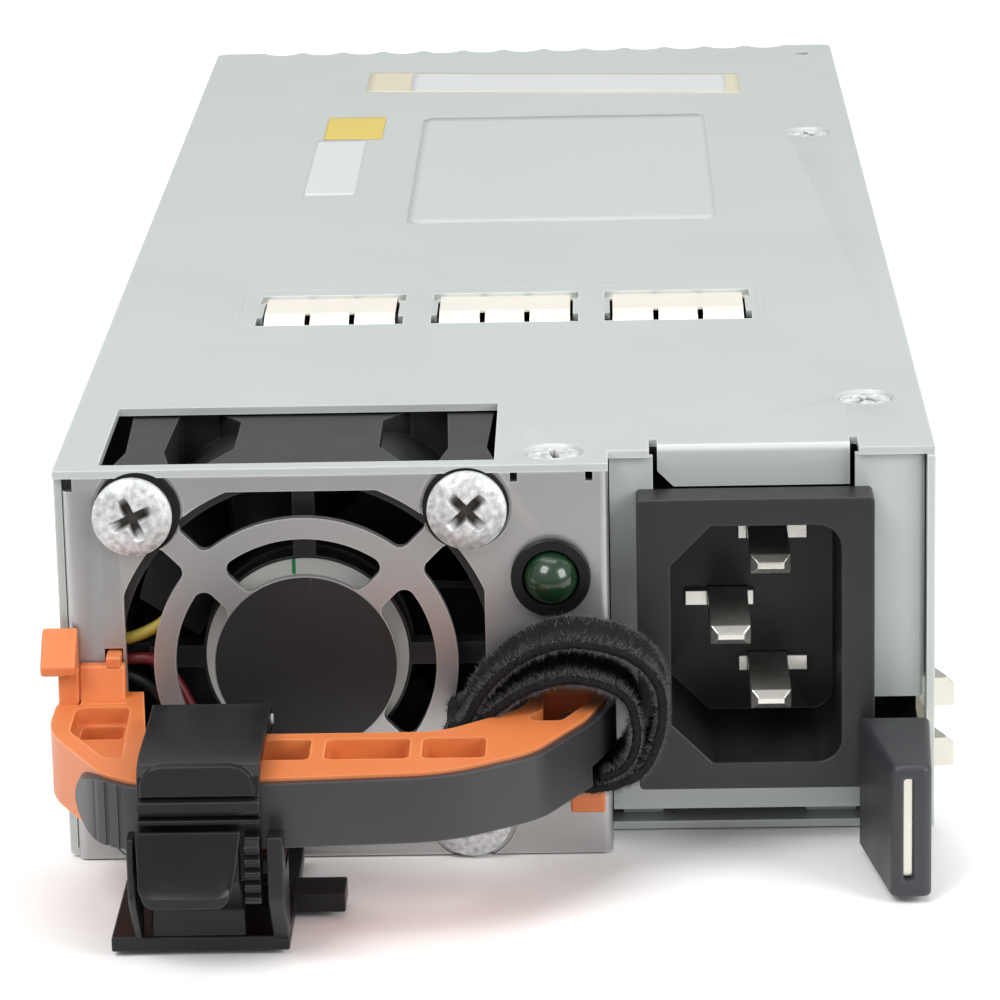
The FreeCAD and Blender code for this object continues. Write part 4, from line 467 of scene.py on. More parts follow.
def round_edges(piece, radius, segments):
    """A bevel of a radius in millimetres on every edge that turns by more than EDGE_ANGLE."""
    bevel = piece.modifiers.new("edge", "BEVEL")
    bevel.width = radius * MM
    bevel.segments = segments
    bevel.limit_method = "ANGLE"
    bevel.angle_limit = math.radians(EDGE_ANGLE)
    bevel.harden_normals = True


def settle(piece, body, slot, *stands_for):
    """Attach a piece to its body and hide the CAD nodes that it stands for."""
    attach(piece, body)
    if stands_for:
        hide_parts(*stands_for)


# %% Rounded copies of CAD nodes
def rounded_copy(node, radius):
    """A copy of a node with merged faces and rounded edges, which then stands for it."""
    mesh = nodes[node].data.copy()
    mesh.name = node + "_rounded"
    work = bmesh.new()
    work.from_mesh(mesh)
    bmesh.ops.remove_doubles(work, verts=work.verts, dist=MERGE_CAD)
    flat = math.radians(FLAT_ANGLE)
    bmesh.ops.dissolve_limit(work, angle_limit=flat, verts=work.verts, edges=work.edges)
    work.to_mesh(mesh)
    work.free()
    smooth(mesh, EDGE_ANGLE)
    piece = show(node + "_rounded", mesh)
    round_edges(piece, radius, 2 if radius < SHEET_RADIUS else 3)
    settle(piece, BODY_OF[node], SLOT_OF[node], node)
    return piece


SHEET_RADIUS = 0.2
ROUNDED = {
    "pull_handle": 0.45, "inlet_body": 0.35, "latch_cap": 0.35, "grip_band": 0.2, "light_bezel": 0.3,
    "top_cover": 0.12, "fan_bracket": 0.14, "inlet_bracket": 0.12, "fan_frame": 0.2, "bottom_tray": 0.12,
    "earth_pin": 0.12, "power_pins": 0.12}
rounded = {node: rounded_copy(node, radius) for node, radius in ROUNDED.items()}
print("rounded:", len(rounded))

# %% [markdown]
# ## Surfaces from formulas
# Small forms that a solid modeller draws stiffly are worked out here as surfaces of two parameters on a
# grid: the heads of the screws, the wound strap and the labels. Every ring and row is one array operation.


# %% Grid surfaces
def grid_faces(rows, columns, ring=False):
    """Quads of a grid of points in row order; with ring, each row closes on itself."""
    i, j = np.meshgrid(np.arange(rows - 1), np.arange(columns if ring else columns - 1), indexing="ij")
    i, j = i.ravel(), j.ravel()
    following = (j + 1) % columns
    return np.stack([i * columns + j, i * columns + following, (i + 1) * columns + following,
                     (i + 1) * columns + j], axis=1)


def ring_faces(points):
    """Quads of a grid of points whose rows are rings."""
    return grid_faces(*points.shape[:2], ring=True)


def join(parts):
    """Points and faces of several parts as one."""
    points, faces, count = [], [], 0
    for some_points, some_faces in parts:
        points.append(some_points.reshape(-1, 3))
        faces += [[corner + count for corner in face] for face in some_faces]
        count += len(points[-1])
    return np.concatenate(points), faces


def surface(name, points, faces, body, slot, *stands_for, look=None, smooth_angle=35.0):
    """A smooth piece from arrays of points, in millimetres, and faces, with poles and seams merged.

    look names its finish, where that isn't the slot's.
    """
    mesh = new_mesh(name, points, np.array(faces).tolist())
    face_outward(mesh, merge=MERGE_GRID)
    smooth(mesh, smooth_angle)
    piece = show(name, mesh)
    settle(piece, body, slot, *stands_for)
    dress(piece, look or slot)
    return piece


def ease(value):
    """Smooth step from 0 to 1: v * v * (3 - 2 * v)."""
    value = np.clip(value, 0.0, 1.0)
    return value * value * (3.0 - 2.0 * value)


# %% [markdown]
# ### The cord clamp and the handle's hook
# Both are small mouldings made of flat walls with rounded edges. Each wall is an outline carried straight
# along one axis, and one bevel rounds them all. The clamp's ladder strap is a ribbon with a thumb lip and
# steps. The handle's hook leans back over the wall's edge, beside a small ramp and its tab.


# %% Walls from outlines
AXES = {"x": (1, 2, 0), "y": (0, 2, 1), "z": (0, 1, 2)}
FRONT_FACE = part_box("fan_bracket")[0][1] / MM


def wall(axis, outline, low, high):
    """An outline (u, v) carried from low to high along an axis: points (u, v, low) and (u, v, high).

    Gives the points and the faces, which are both ends and one side face for each edge.
    """
    flat = np.array(outline, dtype=float)
    count = len(flat)
    points = np.zeros((2 * count, 3))
    first, second, third = AXES[axis]
    points[:, first], points[:, second] = np.tile(flat[:, 0], 2), np.tile(flat[:, 1], 2)
    points[:count, third], points[count:, third] = low, high
    ring = np.arange(count)
    sides = np.stack([ring, np.roll(ring, -1), np.roll(ring, -1) + count, ring + count], axis=1).tolist()
    return points, [ring[::-1].tolist(), (ring + count).tolist()] + sides


def wall_box(x0, y0, z0, x1, y1, z1):
    """A wall with a square outline."""
    return wall("z", [(x0, y0), (x1, y0), (x1, y1), (x0, y1)], z0, z1)


def walls(name, parts, radius, body, slot, *stands_for, look=None):
    """One piece of several walls, measured from the housing's front face in millimetres."""
    points, faces = join(parts)
    mesh = new_mesh(name, points + (0, FRONT_FACE, 0), faces)
    face_outward(mesh)
    smooth(mesh, EDGE_ANGLE)
    piece = show(name, mesh)
    round_edges(piece, radius, 3)
    settle(piece, body, slot, *stands_for)
    dress(piece, look or slot)


# %% Clamp
LADDER_X, RAIL_X, HEAD_RIGHT = (-33.0, -21.6), (-23.2, -21.6), -19.5


def clamp_parts():
    """Plate, head block that leans forward, cheeks, rear post with its hinge ears, toothed rail and peg."""
    plate = wall_box(-36.3, -26.2, 0.3, HEAD_RIGHT, -2.1, 1.8)
    lean = [(-25.9, 1.3), (-26.1, 4.4), (-30.5, 8.6), (-30.6, 11.7), (-29.8, 11.7), (-29.7, 9.0),
            (-24.6, 4.6), (-24.6, 1.3)]
    head = wall("x", lean, -32.4, -23.6)
    cheek = [(-24.0, 1.0), (-25.8, 1.0), (-30.6, 6.4), (-31.2, 7.4), (-31.2, 13.3), (-28.6, 13.3),
             (-28.6, 10.2), (-24.0, 10.2)]
    cheeks = [wall("x", cheek, -21.0, HEAD_RIGHT), wall("x", cheek, -34.0, -33.3)]
    shelf = wall_box(-34.0, -28.4, 8.8, HEAD_RIGHT, -24.2, 10.2)
    post = wall_box(LADDER_X[0], -12.6, 1.6, LADDER_X[1], -11.0, 17.8)
    ears = [wall_box(x, -13.0, 17.0, x + 3.1, -10.6, 19.4) for x in (-33.0, -24.7)]
    peg = wall_box(-19.9, -17.0, 0.5, -14.7, -12.5, 2.5)
    rail = wall_box(RAIL_X[0], -30.6, 6.6, RAIL_X[1], -29.8, 13.2)
    teeth = [wall("x", [(-30.4, z), (-31.3, z + 0.1), (-31.3, z + 0.5), (-30.4, z + 1.0)], *RAIL_X)
             for z in np.arange(6.9, 12.6, 1.25).tolist()]
    return [plate, head, shelf, post, peg, rail] + cheeks + ears + teeth


STRAP_SIDE = [(-11.0, 18.6), (-10.7, 19.1), (-11.2, 19.8), (-12.6, 19.6), (-20.0, 19.8), (-26.4, 19.9),
              (-28.0, 19.5), (-28.9, 18.6), (-29.0, 16.7), (-29.9, 16.4), (-30.2, 15.7), (-30.0, 15.2),
              (-29.3, 15.1), (-29.3, 14.85), (-30.1, 14.7), (-30.1, 14.25), (-29.2, 14.15), (-29.2, 8.4),
              (-28.6, 8.4), (-28.6, 16.9), (-27.6, 18.0), (-25.0, 18.6), (-14.0, 18.7)]
LIP = [(-32.7, 16.8), (-32.7, 17.9), (-32.4, 18.8), (-31.7, 19.5), (-30.6, 19.75), (-24.3, 19.75),
       (-23.2, 19.5), (-22.4, 18.8), (-22.1, 17.9), (-22.1, 16.8)]
walls("cord_clamp", clamp_parts(), 0.22, "clamp", "component_black", "clamp_base", look="clamp_plastic")
ladder = [wall("x", STRAP_SIDE, *LADDER_X), wall("y", LIP, -29.5, -28.3)]
walls("ladder_strap", ladder, 0.16, "clamp", "component_black", "clamp_strap", look="clamp_plastic")


# %% Tongue: the side outline narrows downward and its lower corners are round
TONGUE_SIDE = [(-31.2, 13.9), (-31.6, 11.4), (-32.2, 8.6), (-32.6, 8.0), (-32.6, 7.0), (-32.0, 6.8),
               (-31.0, 9.8), (-31.0, 13.0), (-30.9, 13.9)]
TONGUE_TOP, TONGUE_LEFT, TONGUE_RIGHT = 13.9, -33.1, -23.4
CORNER_FROM, CORNER_RISE, BELLY = 0.68, 1.9, 0.19


def tongue_points(steps=22):
    """The side outline carried across: x = middle + across * half, narrower further down.

    Its low corners rise by CORNER_RISE * (1 - sqrt(1 - corner ** 2)), and its face bulges forward by
    BELLY * (1 - across ** 2).
    """
    side = np.array(TONGUE_SIDE)
    across = np.linspace(-1, 1, steps)
    z = side[:, 1]
    fall = np.clip((TONGUE_TOP - z) / 7.0, 0, 1)
    corner = np.clip((np.abs(across) - CORNER_FROM) / (1 - CORNER_FROM), 0, 1)
    round_off = CORNER_RISE * (1 - np.sqrt(np.clip(1 - corner ** 2, 0, 1)))
    left, right = TONGUE_LEFT + 0.2 * fall, TONGUE_RIGHT - 0.9 * fall
    x = (left + right)[None, :] / 2 + across[:, None] * (right - left)[None, :] / 2
    height = z[None, :] + round_off[:, None] * ease((9.2 - z) / 2.2)[None, :]
    y = np.repeat(side[None, :, 0], steps, axis=0)
    y = y - BELLY * (1 - across[:, None] ** 2) * ease((12.0 - z) / 4.0)[None, :]
    solid = np.stack([x, y + FRONT_FACE, height], axis=2)
    middle = solid[[0, -1]].mean(axis=1, keepdims=True).repeat(solid.shape[1], axis=1)
    return np.concatenate([middle[:1], solid, middle[1:]])


tongue = tongue_points()
surface("release_tongue", tongue, ring_faces(tongue), "clamp_release", "component_black", "clamp_release",
        look="clamp_plastic", smooth_angle=30)


# %% Hook, ramp and tab of the handle
def cut_box(piece, low, high):
    """Take a box away from a piece's mesh with an exact boolean, then drop the box."""
    points, faces = wall_box(*low, *high)
    cutter = show("cutter", new_mesh("cutter", points + (0, FRONT_FACE, 0), faces))
    kept = list(piece.modifiers)
    for modifier in kept:
        modifier.show_viewport = False
    boolean = piece.modifiers.new("take_away", "BOOLEAN")
    boolean.object = cutter
    boolean.operation = "DIFFERENCE"
    boolean.solver = "EXACT"
    shape = bpy.data.meshes.new_from_object(piece.evaluated_get(bpy.context.evaluated_depsgraph_get()))
    piece.modifiers.remove(boolean)
    piece.data = shape
    for modifier in kept:
        modifier.show_viewport = True
    bpy.data.objects.remove(cutter)


handle = rounded["pull_handle"]
cut_box(handle, (-47, -4.3, 17.1), (-40.75, 9, 26))
cut_box(handle, (-41, -4.3, 17.52), (-36.2, 1.5, 26))
handle.data.set_sharp_from_angle(angle=math.radians(EDGE_ANGLE))
HOOK_SIDE = [(-0.4, 20.3), (-3.9, 20.3), (-4.1, 21.3), (-1.2, 23.9), (-0.4, 24.3)]
NECK_SIDE = [(-0.4, 16.9), (-3.0, 16.9), (-2.6, 20.6), (-0.4, 20.6)]
RAMP_SIDE = [(-0.4, 17.2), (-2.6, 17.2), (-1.5, 20.6), (-0.4, 20.7)]
TAB_SIDE = [(0.9, 20.6), (-1.7, 20.3), (-1.7, 21.5), (0.9, 21.7)]
rim = wall_box(-44.3, -0.6, 20.4, -43.15, 6.5, 21.6)
foot = wall_box(6.9, -1.3, 4.6, 10.3, 0.0, 8.0)
hook_parts = [wall("x", HOOK_SIDE, -44.55, -41.1), rim, wall("x", NECK_SIDE, -43.0, -41.0), foot,
              wall("x", RAMP_SIDE, -41.0, -36.5), wall("x", TAB_SIDE, -38.4, -36.9)]
walls("handle_hook", hook_parts, 0.25, "housing", "orange_plastic")
print("clamp, tongue and hook made")

# %% [markdown]
# ### Screw heads
# Each head is a low dome with a rim. Its recess is two crossed grooves that are deepest in the middle
# and rise to nothing at their ends, as the driver's tip leaves them.


# %% Screw heads
RECESS_WIDTH, RECESS_EDGE, RECESS_TAPER, DOME_POWER = 0.15, 0.45, 2.2, 3.4


def cross_recess(radius, angle, arm, half_width, depth, turn):
    """Depth of a cross recess: depth * ease(wall) * taper, the greater of its two grooves.

    wall = (half_width - |across|) / (half_width * RECESS_EDGE), taper = RECESS_TAPER * (1 - |along| / arm).
    """
    x, y = radius * np.cos(angle - turn), radius * np.sin(angle - turn)
    sunk = np.zeros_like(x)
    for along, across in ((x, y), (y, x)):
        bar = ease((half_width - np.abs(across)) / (half_width * RECESS_EDGE))
        taper = np.clip(RECESS_TAPER * (1.0 - np.abs(along) / arm), 0.0, 1.0)
        sunk = np.maximum(sunk, bar * taper)
    return sunk * depth


def head_points(radius, crown, skirt, shank, length, arm, depth, turn, rings=34, spokes=72):
    """Rings about +Z: crown * (1 - (r / radius) ** DOME_POWER) less the recess, then rim and shank."""
    angle = np.linspace(0, 2 * math.pi, spokes, endpoint=False)
    out = np.linspace(0, 1, rings) ** 0.85 * radius
    r, a = np.meshgrid(out, angle, indexing="ij")
    dome = crown * (1.0 - (r / radius) ** DOME_POWER)
    height = dome - cross_recess(r, a, arm, radius * RECESS_WIDTH, depth, turn)
    sides = np.array([(1.0, -0.25), (1.0, -0.85), (0.97, -1.0), (shank / radius, -1.0)]) * (radius, skirt)
    tip = -skirt - length - 0.4 * shank
    tail = np.array([(shank, -skirt - length), (shank * 0.7, tip), (0.0, tip)])
    turned = np.concatenate([sides, tail])
    ring_r = np.concatenate([r, np.repeat(turned[:, :1], spokes, axis=1)])
    ring_h = np.concatenate([height, np.repeat(turned[:, 1:], spokes, axis=1)])
    ring_a = np.repeat(angle[None, :], len(ring_r), axis=0)
    return np.stack([ring_r * np.cos(ring_a), ring_r * np.sin(ring_a), ring_h], axis=2)


def screw_set(name, places, forward, turns, node, **sizes):
    """One piece with a screw at each place; forward says that the heads face -Y, otherwise +Z."""
    parts = []
    for place, turn in zip(places, turns):
        points = head_points(turn=turn, **sizes)
        if forward:
            points = np.stack([points[..., 0], -points[..., 2], points[..., 1]], axis=2)
        parts.append((points + place, ring_faces(points)))
    heads = surface(name, *join(parts), BODY_OF[node], SLOT_OF[node], node)
    paint_recess(heads, places, forward, turns, sizes["arm"], sizes["radius"])
    print(name, len(places))


def paint_recess(heads, places, forward, turns, arm, radius):
    """A value on the points that says how deep in a recess each one lies, 0 to 1, for the painted shade in
    it.
    """
    spots = np.empty(len(heads.data.vertices) * 3)
    heads.data.vertices.foreach_get("co", spots)
    spots = spots.reshape(-1, 3) / MM
    sunk = np.zeros(len(spots))
    for place, turn in zip(places, turns):
        away = spots - place
        x, y, up = (away[:, 0], away[:, 2], -away[:, 1]) if forward else (away[:, 0], away[:, 1], away[:, 2])
        r, a = np.hypot(x, y), np.arctan2(y, x)
        near = (r < radius * 0.97) & (up > -radius * 0.45)
        sunk = np.maximum(sunk, near * cross_recess(r, a, arm, radius * RECESS_WIDTH, 1.0, turn))
    heads.data.attributes.new("sunk", "FLOAT", "POINT").data.foreach_set("value", sunk)


def corner_places(node, inset, y):
    """The four corners of a node's box in X and Z, moved in by an inset, at one Y in millimetres."""
    low, high = np.array(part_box(node)) / MM
    xs, zs = (low[0] + inset, high[0] - inset), (low[2] + inset, high[2] - inset)
    return [np.array([x, y, z]) for z in zs for x in xs]


FAN_INSET, HEAD_OUT, RING_OUT = 3.9, 0.85, 0.04
SCREW_SHIFTS = np.array([(0, 0, 0), (0, 0, 0), (-0.45, 0, -0.55), (0.1, 0, -0.35)])
corners = corner_places("fan_screws", FAN_INSET, FRONT_FACE - HEAD_OUT)
fan_places = [place + shift for place, shift in zip(corners, SCREW_SHIFTS)]
screw_set("fan_screw_heads", fan_places, True, (0.35, 1.05, 0.42, 0.76), "fan_screws", radius=3.88,
          crown=0.85, skirt=0.8, shank=1.0, length=8.0, arm=2.3, depth=1.2)


def dimple_shade_rings(name, places, inner, outer):
    """Painted shade in the dished holes: black rings, a flat profile (r, depth) turned about each screw's
    axis.
    """
    angle = np.linspace(0, 2 * math.pi, 72, endpoint=False)
    profile = np.array([(inner, 0.0), (outer - 0.3, 0.0), (outer, -0.12), (outer, -0.3), (inner, -0.3)])
    r, a = np.meshgrid(profile[:, 0], angle, indexing="ij")
    depth = np.repeat(profile[:, 1:], len(angle), axis=1)
    points = np.stack([r * np.cos(a), -depth, r * np.sin(a)], axis=2)
    points = np.concatenate([points, points[:1]])
    parts = [(points + place, ring_faces(points)) for place in places]
    surface(name, *join(parts), "housing", "black_plastic", look="bezel_black")


# The dished holes are plain plated steel; the black rings laid in them are painted shade, where the heads
# shade the holes.
ring_corners = corner_places("fan_screws", FAN_INSET, FRONT_FACE - RING_OUT)
dimple_shade_rings("screw_hole_painted_shade", [place + (0.0, 0.0, -0.25) for place in ring_corners[2:]], 2.4, 4.22)

COVER_INSET, COVER_HEAD, SIDE_SCREW_BACK = 2.8, 39.72, 19.0
low, high = np.array(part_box("cover_screws")) / MM + np.array([[COVER_INSET], [-COVER_INSET]])
cover_places = [np.array([x, y, COVER_HEAD]) for x, y in (
    (low[0], low[1]), (high[0], low[1] + SIDE_SCREW_BACK), (high[0], high[1]))]
screw_set("cover_screw_heads", cover_places, False, (0.2, 0.9, 0.5), "cover_screws", radius=2.55, crown=0.12,
          skirt=0.5, shank=1.15, length=3.8, arm=1.7, depth=0.75)

# %% [markdown]
# ### The fan's leads
# The three leads leave the hub, follow the guard's ring behind its spokes, go round the fan's edge on their
# left and run back along the wall to the plug. Each is a round tube along a smooth path.


# %% Leads
SMOOTH_OVER = 11


def tube_points(path, radius, steps=260, sides=12):
    """Round tube with shut ends: line + radius * (across * cos(a) + upward * sin(a)), the line smoothed."""
    path = np.array(path, dtype=float)
    run = np.concatenate([[0], np.cumsum(np.linalg.norm(np.diff(path, axis=0), axis=1))])
    even = np.linspace(0, run[-1], steps)
    line = np.stack([np.interp(even, run, path[:, axis]) for axis in range(3)], axis=1)
    weight = np.hanning(2 * SMOOTH_OVER + 1)
    weight /= weight.sum()
    before, after = (np.repeat(point, SMOOTH_OVER, axis=0) for point in (line[:1], line[-1:]))
    padded = np.concatenate([before, line, after])
    line = np.stack([np.convolve(padded[:, axis], weight, mode="valid") for axis in range(3)], axis=1)
    ahead = np.gradient(line, axis=0)
    ahead /= np.linalg.norm(ahead, axis=1)[:, None]
    across = np.cross(ahead, (0.13, 0.27, 0.95))
    across /= np.linalg.norm(across, axis=1)[:, None]
    upward = np.cross(across, ahead)
    angle = np.linspace(0, 2 * math.pi, sides, endpoint=False)
    cosine, sine = np.cos(angle)[None, :, None], np.sin(angle)[None, :, None]
    points = line[:, None, :] + (across[:, None, :] * cosine + upward[:, None, :] * sine) * radius
    ends = line[[0, -1]][:, None, :].repeat(sides, axis=1)
    return np.concatenate([ends[:1], points, ends[1:]])


def round_hub(*pairs):
    """Points behind the guard, each given by its distance from the hub's axis and its angle in degrees."""
    low, high = np.array(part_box("guard_sticker"))
    centre = (low + high) / 2 / MM
    points = []
    for far, turn in pairs:
        turn = math.radians(turn)
        points.append((centre[0] + far * math.cos(turn), LEAD_DEPTH, centre[2] + far * math.sin(turn)))
    return points


LEAD_RADIUS, LEAD_DEPTH, LANE, PLUG, PLUG_PITCH = 0.6, 2.2, -39.55, (-36.15, 38.6, 10.8), 2.0
LEAD_ROUTES = {
    "black": (18.4, round_hub((9.3, 230), (12.8, 230), (14.3, 224), (14.3, 208), (15.0, 197), (16.0, 189))),
    "red": (19.9, round_hub((9.3, 221), (11.2, 221), (12.7, 215), (12.7, 205), (12.9, 194), (13.8, 184),
                            (15.2, 179))),
    "yellow": (21.9, round_hub((9.3, 135), (12.2, 136), (13.8, 142), (13.8, 153), (14.2, 163), (15.3, 168))),
}
for row, (colour, (height, inside)) in enumerate(LEAD_ROUTES.items()):
    node = "fan_lead_" + colour
    end = (PLUG[0] + PLUG_PITCH * row, PLUG[1], PLUG[2])
    outside = [(LANE + 2.9, LEAD_DEPTH, height + 0.2), (LANE + 0.8, LEAD_DEPTH + 0.6, height),
               (LANE, LEAD_DEPTH + 2.6, height), (LANE, 17.1, height + 0.6), (LANE, 27.5 + row, height - 1.0),
               (LANE + 0.3, 30.2 + row, height - 2.6), (end[0], 35.0, end[2]), end]
    points = tube_points(inside + outside, LEAD_RADIUS) + (0, FRONT_FACE, 0)
    surface("lead_" + colour, points, ring_faces(points), "housing", SLOT_OF[node], node,
            look=OWN_FINISH[node], smooth_angle=60)
print("leads:", len(LEAD_ROUTES))

# %% [markdown]
# ### The wound strap
# The strap is a woven ribbon with loop pile, wound twice round the handle's arm. Its inner turn lies close
# to the outer one underneath, where the arm pulls it tight, and hangs away from it at the top.


# %% The strap's line
STRAP_LOW, STRAP_HIGH = np.array(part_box("hook_and_loop_strap")) / MM
STRAP_MIDDLE, STRAP_HALF = (STRAP_LOW + STRAP_HIGH) / 2, (STRAP_HIGH - STRAP_LOW) / 2
STRAP_MARGIN, STRAP_STEPS = 0.55, 520
TURN_ENDS, INNER_UNTIL = (0.045, 1.955), 0.97


def powered(value, power):
    """Size of a value raised to a power, with its sign kept."""
    return np.sign(value) * np.abs(value) ** power


def strap_line(turns):
    """Centre line in X and Z, in millimetres, at a number of turns that are counted from underneath.

    It is an ellipse: x = middle + across * powered(sin), z = middle - upward * powered(cos). Its first turn
    is inset, most at the top and least underneath. It sags under the arm, and its left shoulder slopes.
    """
    angle = 2 * math.pi * turns
    rise = (1 - np.cos(angle)) / 2
    power = 0.72 + 0.14 * rise
    outer = ease((turns - INNER_UNTIL) / 0.07)
    inset = (1 - outer) * (1.12 + 2.4 * rise ** 1.5)
    left_turn = ease(-np.sin(angle) * 1.6)
    across = STRAP_HALF[0] - STRAP_MARGIN - inset * (1.35 - 0.2 * left_turn)
    upward = STRAP_HALF[2] - STRAP_MARGIN - inset
    wave = 0.25 * np.sin(angle * 1.5 + 1)
    x = STRAP_MIDDLE[0] + across * powered(np.sin(angle), power) + wave
    z = STRAP_MIDDLE[2] - upward * powered(np.cos(angle), power)
    z = z - (0.35 + 0.6 * np.abs(np.sin(angle))) * ease((STRAP_MIDDLE[2] - 2.5 - z) / 3.5)
    left = np.clip((STRAP_MIDDLE[0] + 2.0 - x) / (STRAP_HALF[0] + 2.0), 0, 1)
    top = ease((z - STRAP_MIDDLE[2] + 2.0) / 6.0)
    shoulder = (3.6 + 0.4 * outer) * left ** 1.6 * top
    return x + (0.4 + 1.1 * top) * left, z - shoulder - 0.6 * top


def pile_noise(u, v):
    """Uneven surface: a sum of sines in both directions with unlike periods."""
    return (np.sin(u * 3.1 + np.sin(v * 2.3) * 1.7) * np.sin(v * 4.3 + 1.1)
            + 0.6 * np.sin(u * 7.7 + v * 5.2) + 0.5 * np.sin(u * 13.0 - v * 11.0))


def strap_frame():
    """Points, outward normals and distance run along the strap's line."""
    x, z = strap_line(np.linspace(*TURN_ENDS, STRAP_STEPS))
    dx, dz = np.gradient(x), np.gradient(z)
    size = np.hypot(dx, dz)
    return x, z, dz / size, -dx / size, np.cumsum(size)


# %% Ribbon and bristles
RIBBON_POWERS, RIBBON_HALF_THICKNESS, EDGE_MARGIN, END_STEPS = (0.22, 0.75), 0.5, 0.1, 3.0


def strap_points(sides=56):
    """Ribbon: (width * powered(cos), thickness * powered(sin)) carried along the line to pointed ends."""
    x, z, nx, nz, run = strap_frame()
    around = np.linspace(0, 2 * math.pi, sides, endpoint=False)
    wide = (STRAP_HALF[1] - EDGE_MARGIN) * powered(np.cos(around), RIBBON_POWERS[0])
    thick = RIBBON_HALF_THICKNESS * powered(np.sin(around), RIBBON_POWERS[1])
    step = np.arange(STRAP_STEPS)
    end = np.minimum(1.0, np.minimum(step, step[::-1]) / END_STEPS) ** 0.5
    s, w = np.meshgrid(run, wide, indexing="ij")
    lump = 0.07 * pile_noise(s * 0.9, w * 1.3) + 0.05 * pile_noise(s * 4.3 + 2.0, w * 3.7)
    sway = 0.12 * np.sin(s * 0.21 + 0.6)
    out = (thick[None, :] + lump * np.sign(thick)[None, :]) * end[:, None]
    y = STRAP_MIDDLE[1] + (w * end[:, None] + sway)
    return np.stack([x[:, None] + nx[:, None] * out, y, z[:, None] + nz[:, None] * out], axis=2)


BRISTLE_COUNT, BRISTLE_SEED, BRISTLE_ROOT, BRISTLE_RADIUS = 30000, 7, 0.45, 0.032


def hair_points(count, seed):
    """Short bristles: a thin triangle at a random spot, line + BRISTLE_ROOT * normal, and a leaning tip."""
    chance = np.random.default_rng(seed)
    x, z, nx, nz, _ = strap_frame()
    spot = chance.uniform(4, STRAP_STEPS - 5, count)
    half = STRAP_HALF[1] - 0.15
    across = half * powered(chance.uniform(-1, 1, count), 0.3)
    at_edge = ease((np.abs(across) - half * 0.9) / (half * 0.1))
    side = np.where(chance.uniform(0, 1, count) < 0.5, -1.0, 1.0)
    column = np.arange(STRAP_STEPS)
    px, pz, ox, oz = (np.interp(spot, column, values) for values in (x, z, nx, nz))
    base = np.stack([px + ox * BRISTLE_ROOT * side, STRAP_MIDDLE[1] + across, pz + oz * BRISTLE_ROOT * side],
                    axis=1)
    lean = chance.normal(0, 0.45, (count, 3))
    lean[:, 1] += np.sign(across) * at_edge * 0.9
    straight = np.stack([ox * side, np.zeros(count), oz * side], axis=1)
    direction = straight * (1 - 0.6 * at_edge)[:, None] + lean
    direction /= np.linalg.norm(direction, axis=1)[:, None]
    tip = base + direction * chance.uniform(0.25, 0.85, count)[:, None] ** 1.3
    spread = chance.normal(0, 1, (count, 3, 3))
    spread = spread / np.linalg.norm(spread, axis=2)[..., None] * BRISTLE_RADIUS
    return np.concatenate([base[:, None, :] + spread, tip[:, None, :]], axis=1)


ribbon = strap_points()
strap = surface("strap_ribbon", ribbon, ring_faces(ribbon), "housing", "woven_strap", "hook_and_loop_strap",
                smooth_angle=60)
hairs = hair_points(BRISTLE_COUNT, BRISTLE_SEED)
starts = np.arange(len(hairs))[:, None] * 4
hair_faces = np.concatenate([starts + face for face in ([0, 1, 3], [1, 2, 3], [2, 0, 3])])
# Bristles in the lighter grey: painted highlight of the light caught by the strap's fuzzy pile.
surface("strap_bristles", hairs, hair_faces, "housing", "woven_strap", look="pile_hair_painted_highlight")
print("strap quads:", len(strap.data.polygons), "bristles:", len(hairs))

# %% [markdown]
# ### Labels and tape on the cover
# The rating label and the small stickers are left blank: they keep their size, place and paper, and carry
# no lettering. A strip of translucent tape with uncut ends crosses the cover near its back.


# %% Labels
COVER_TOP, SHEET_THICKNESS, RIPPLE = 40.0, 0.08, 0.015


def label(name, x, y, radius, material, lift=0.05, skew=0.0, columns=40, rows=24):
    """Rounded rectangle: y = v * (half_y - radius + sqrt(radius ** 2 - inside ** 2)), rippling a little.

    inside is how far x lies in the rounded corner. skew turns a strip that was laid on crooked.
    """
    half_x, half_y = (x[1] - x[0]) / 2, (y[1] - y[0]) / 2
    across = np.linspace(-1, 1, columns) * half_x
    inside = np.maximum(0, np.abs(across) - (half_x - radius))
    limit = half_y - radius + np.sqrt(np.maximum(0, radius ** 2 - inside ** 2))
    a, v = np.meshgrid(across, np.linspace(-1, 1, rows), indexing="ij")
    b = v * limit[:, None]
    height = COVER_TOP + lift + RIPPLE * (1 + np.sin(a * 0.31 + 1) * np.sin(b * 0.23 + 0.4))
    points = np.stack([a + sum(x) / 2, b + sum(y) / 2 - skew * a, height], axis=2)
    piece = surface(name, points, grid_faces(columns, rows), "housing", "paper_label", look=material)
    paper = piece.modifiers.new("paper", "SOLIDIFY")
    paper.thickness = SHEET_THICKNESS * MM
    paper.offset = -1.0


label("rating_label", (-12.4, 24.2), (-2.0, 60.6), 1.2, "rating_paper")
label("serial_label", (-25.6, -19.4), (14.4, 47.4), 0.4, "white_paper")
label("seal_sticker", (-24.9, -17.4), (47.9, 61.6), 0.3, "yellow_paper", lift=0.09)
label("cover_tape", (-20.9, 29.5), (76.9, 90.3), 0.2, "clear_tape", lift=0.03, skew=0.1)
label("tape_sheet", (-14.9, 27.6), (77.2, 89.2), 0.2, "white_paper", lift=0.1, skew=0.1)
print("labels made")

# %% [markdown]
# ## Floor, light and camera
# The studio is a white floor under soft light from above and both sides. The camera stands in front of the
# module, a little to its right, and looks down on it at sixteen degrees through a long lens.


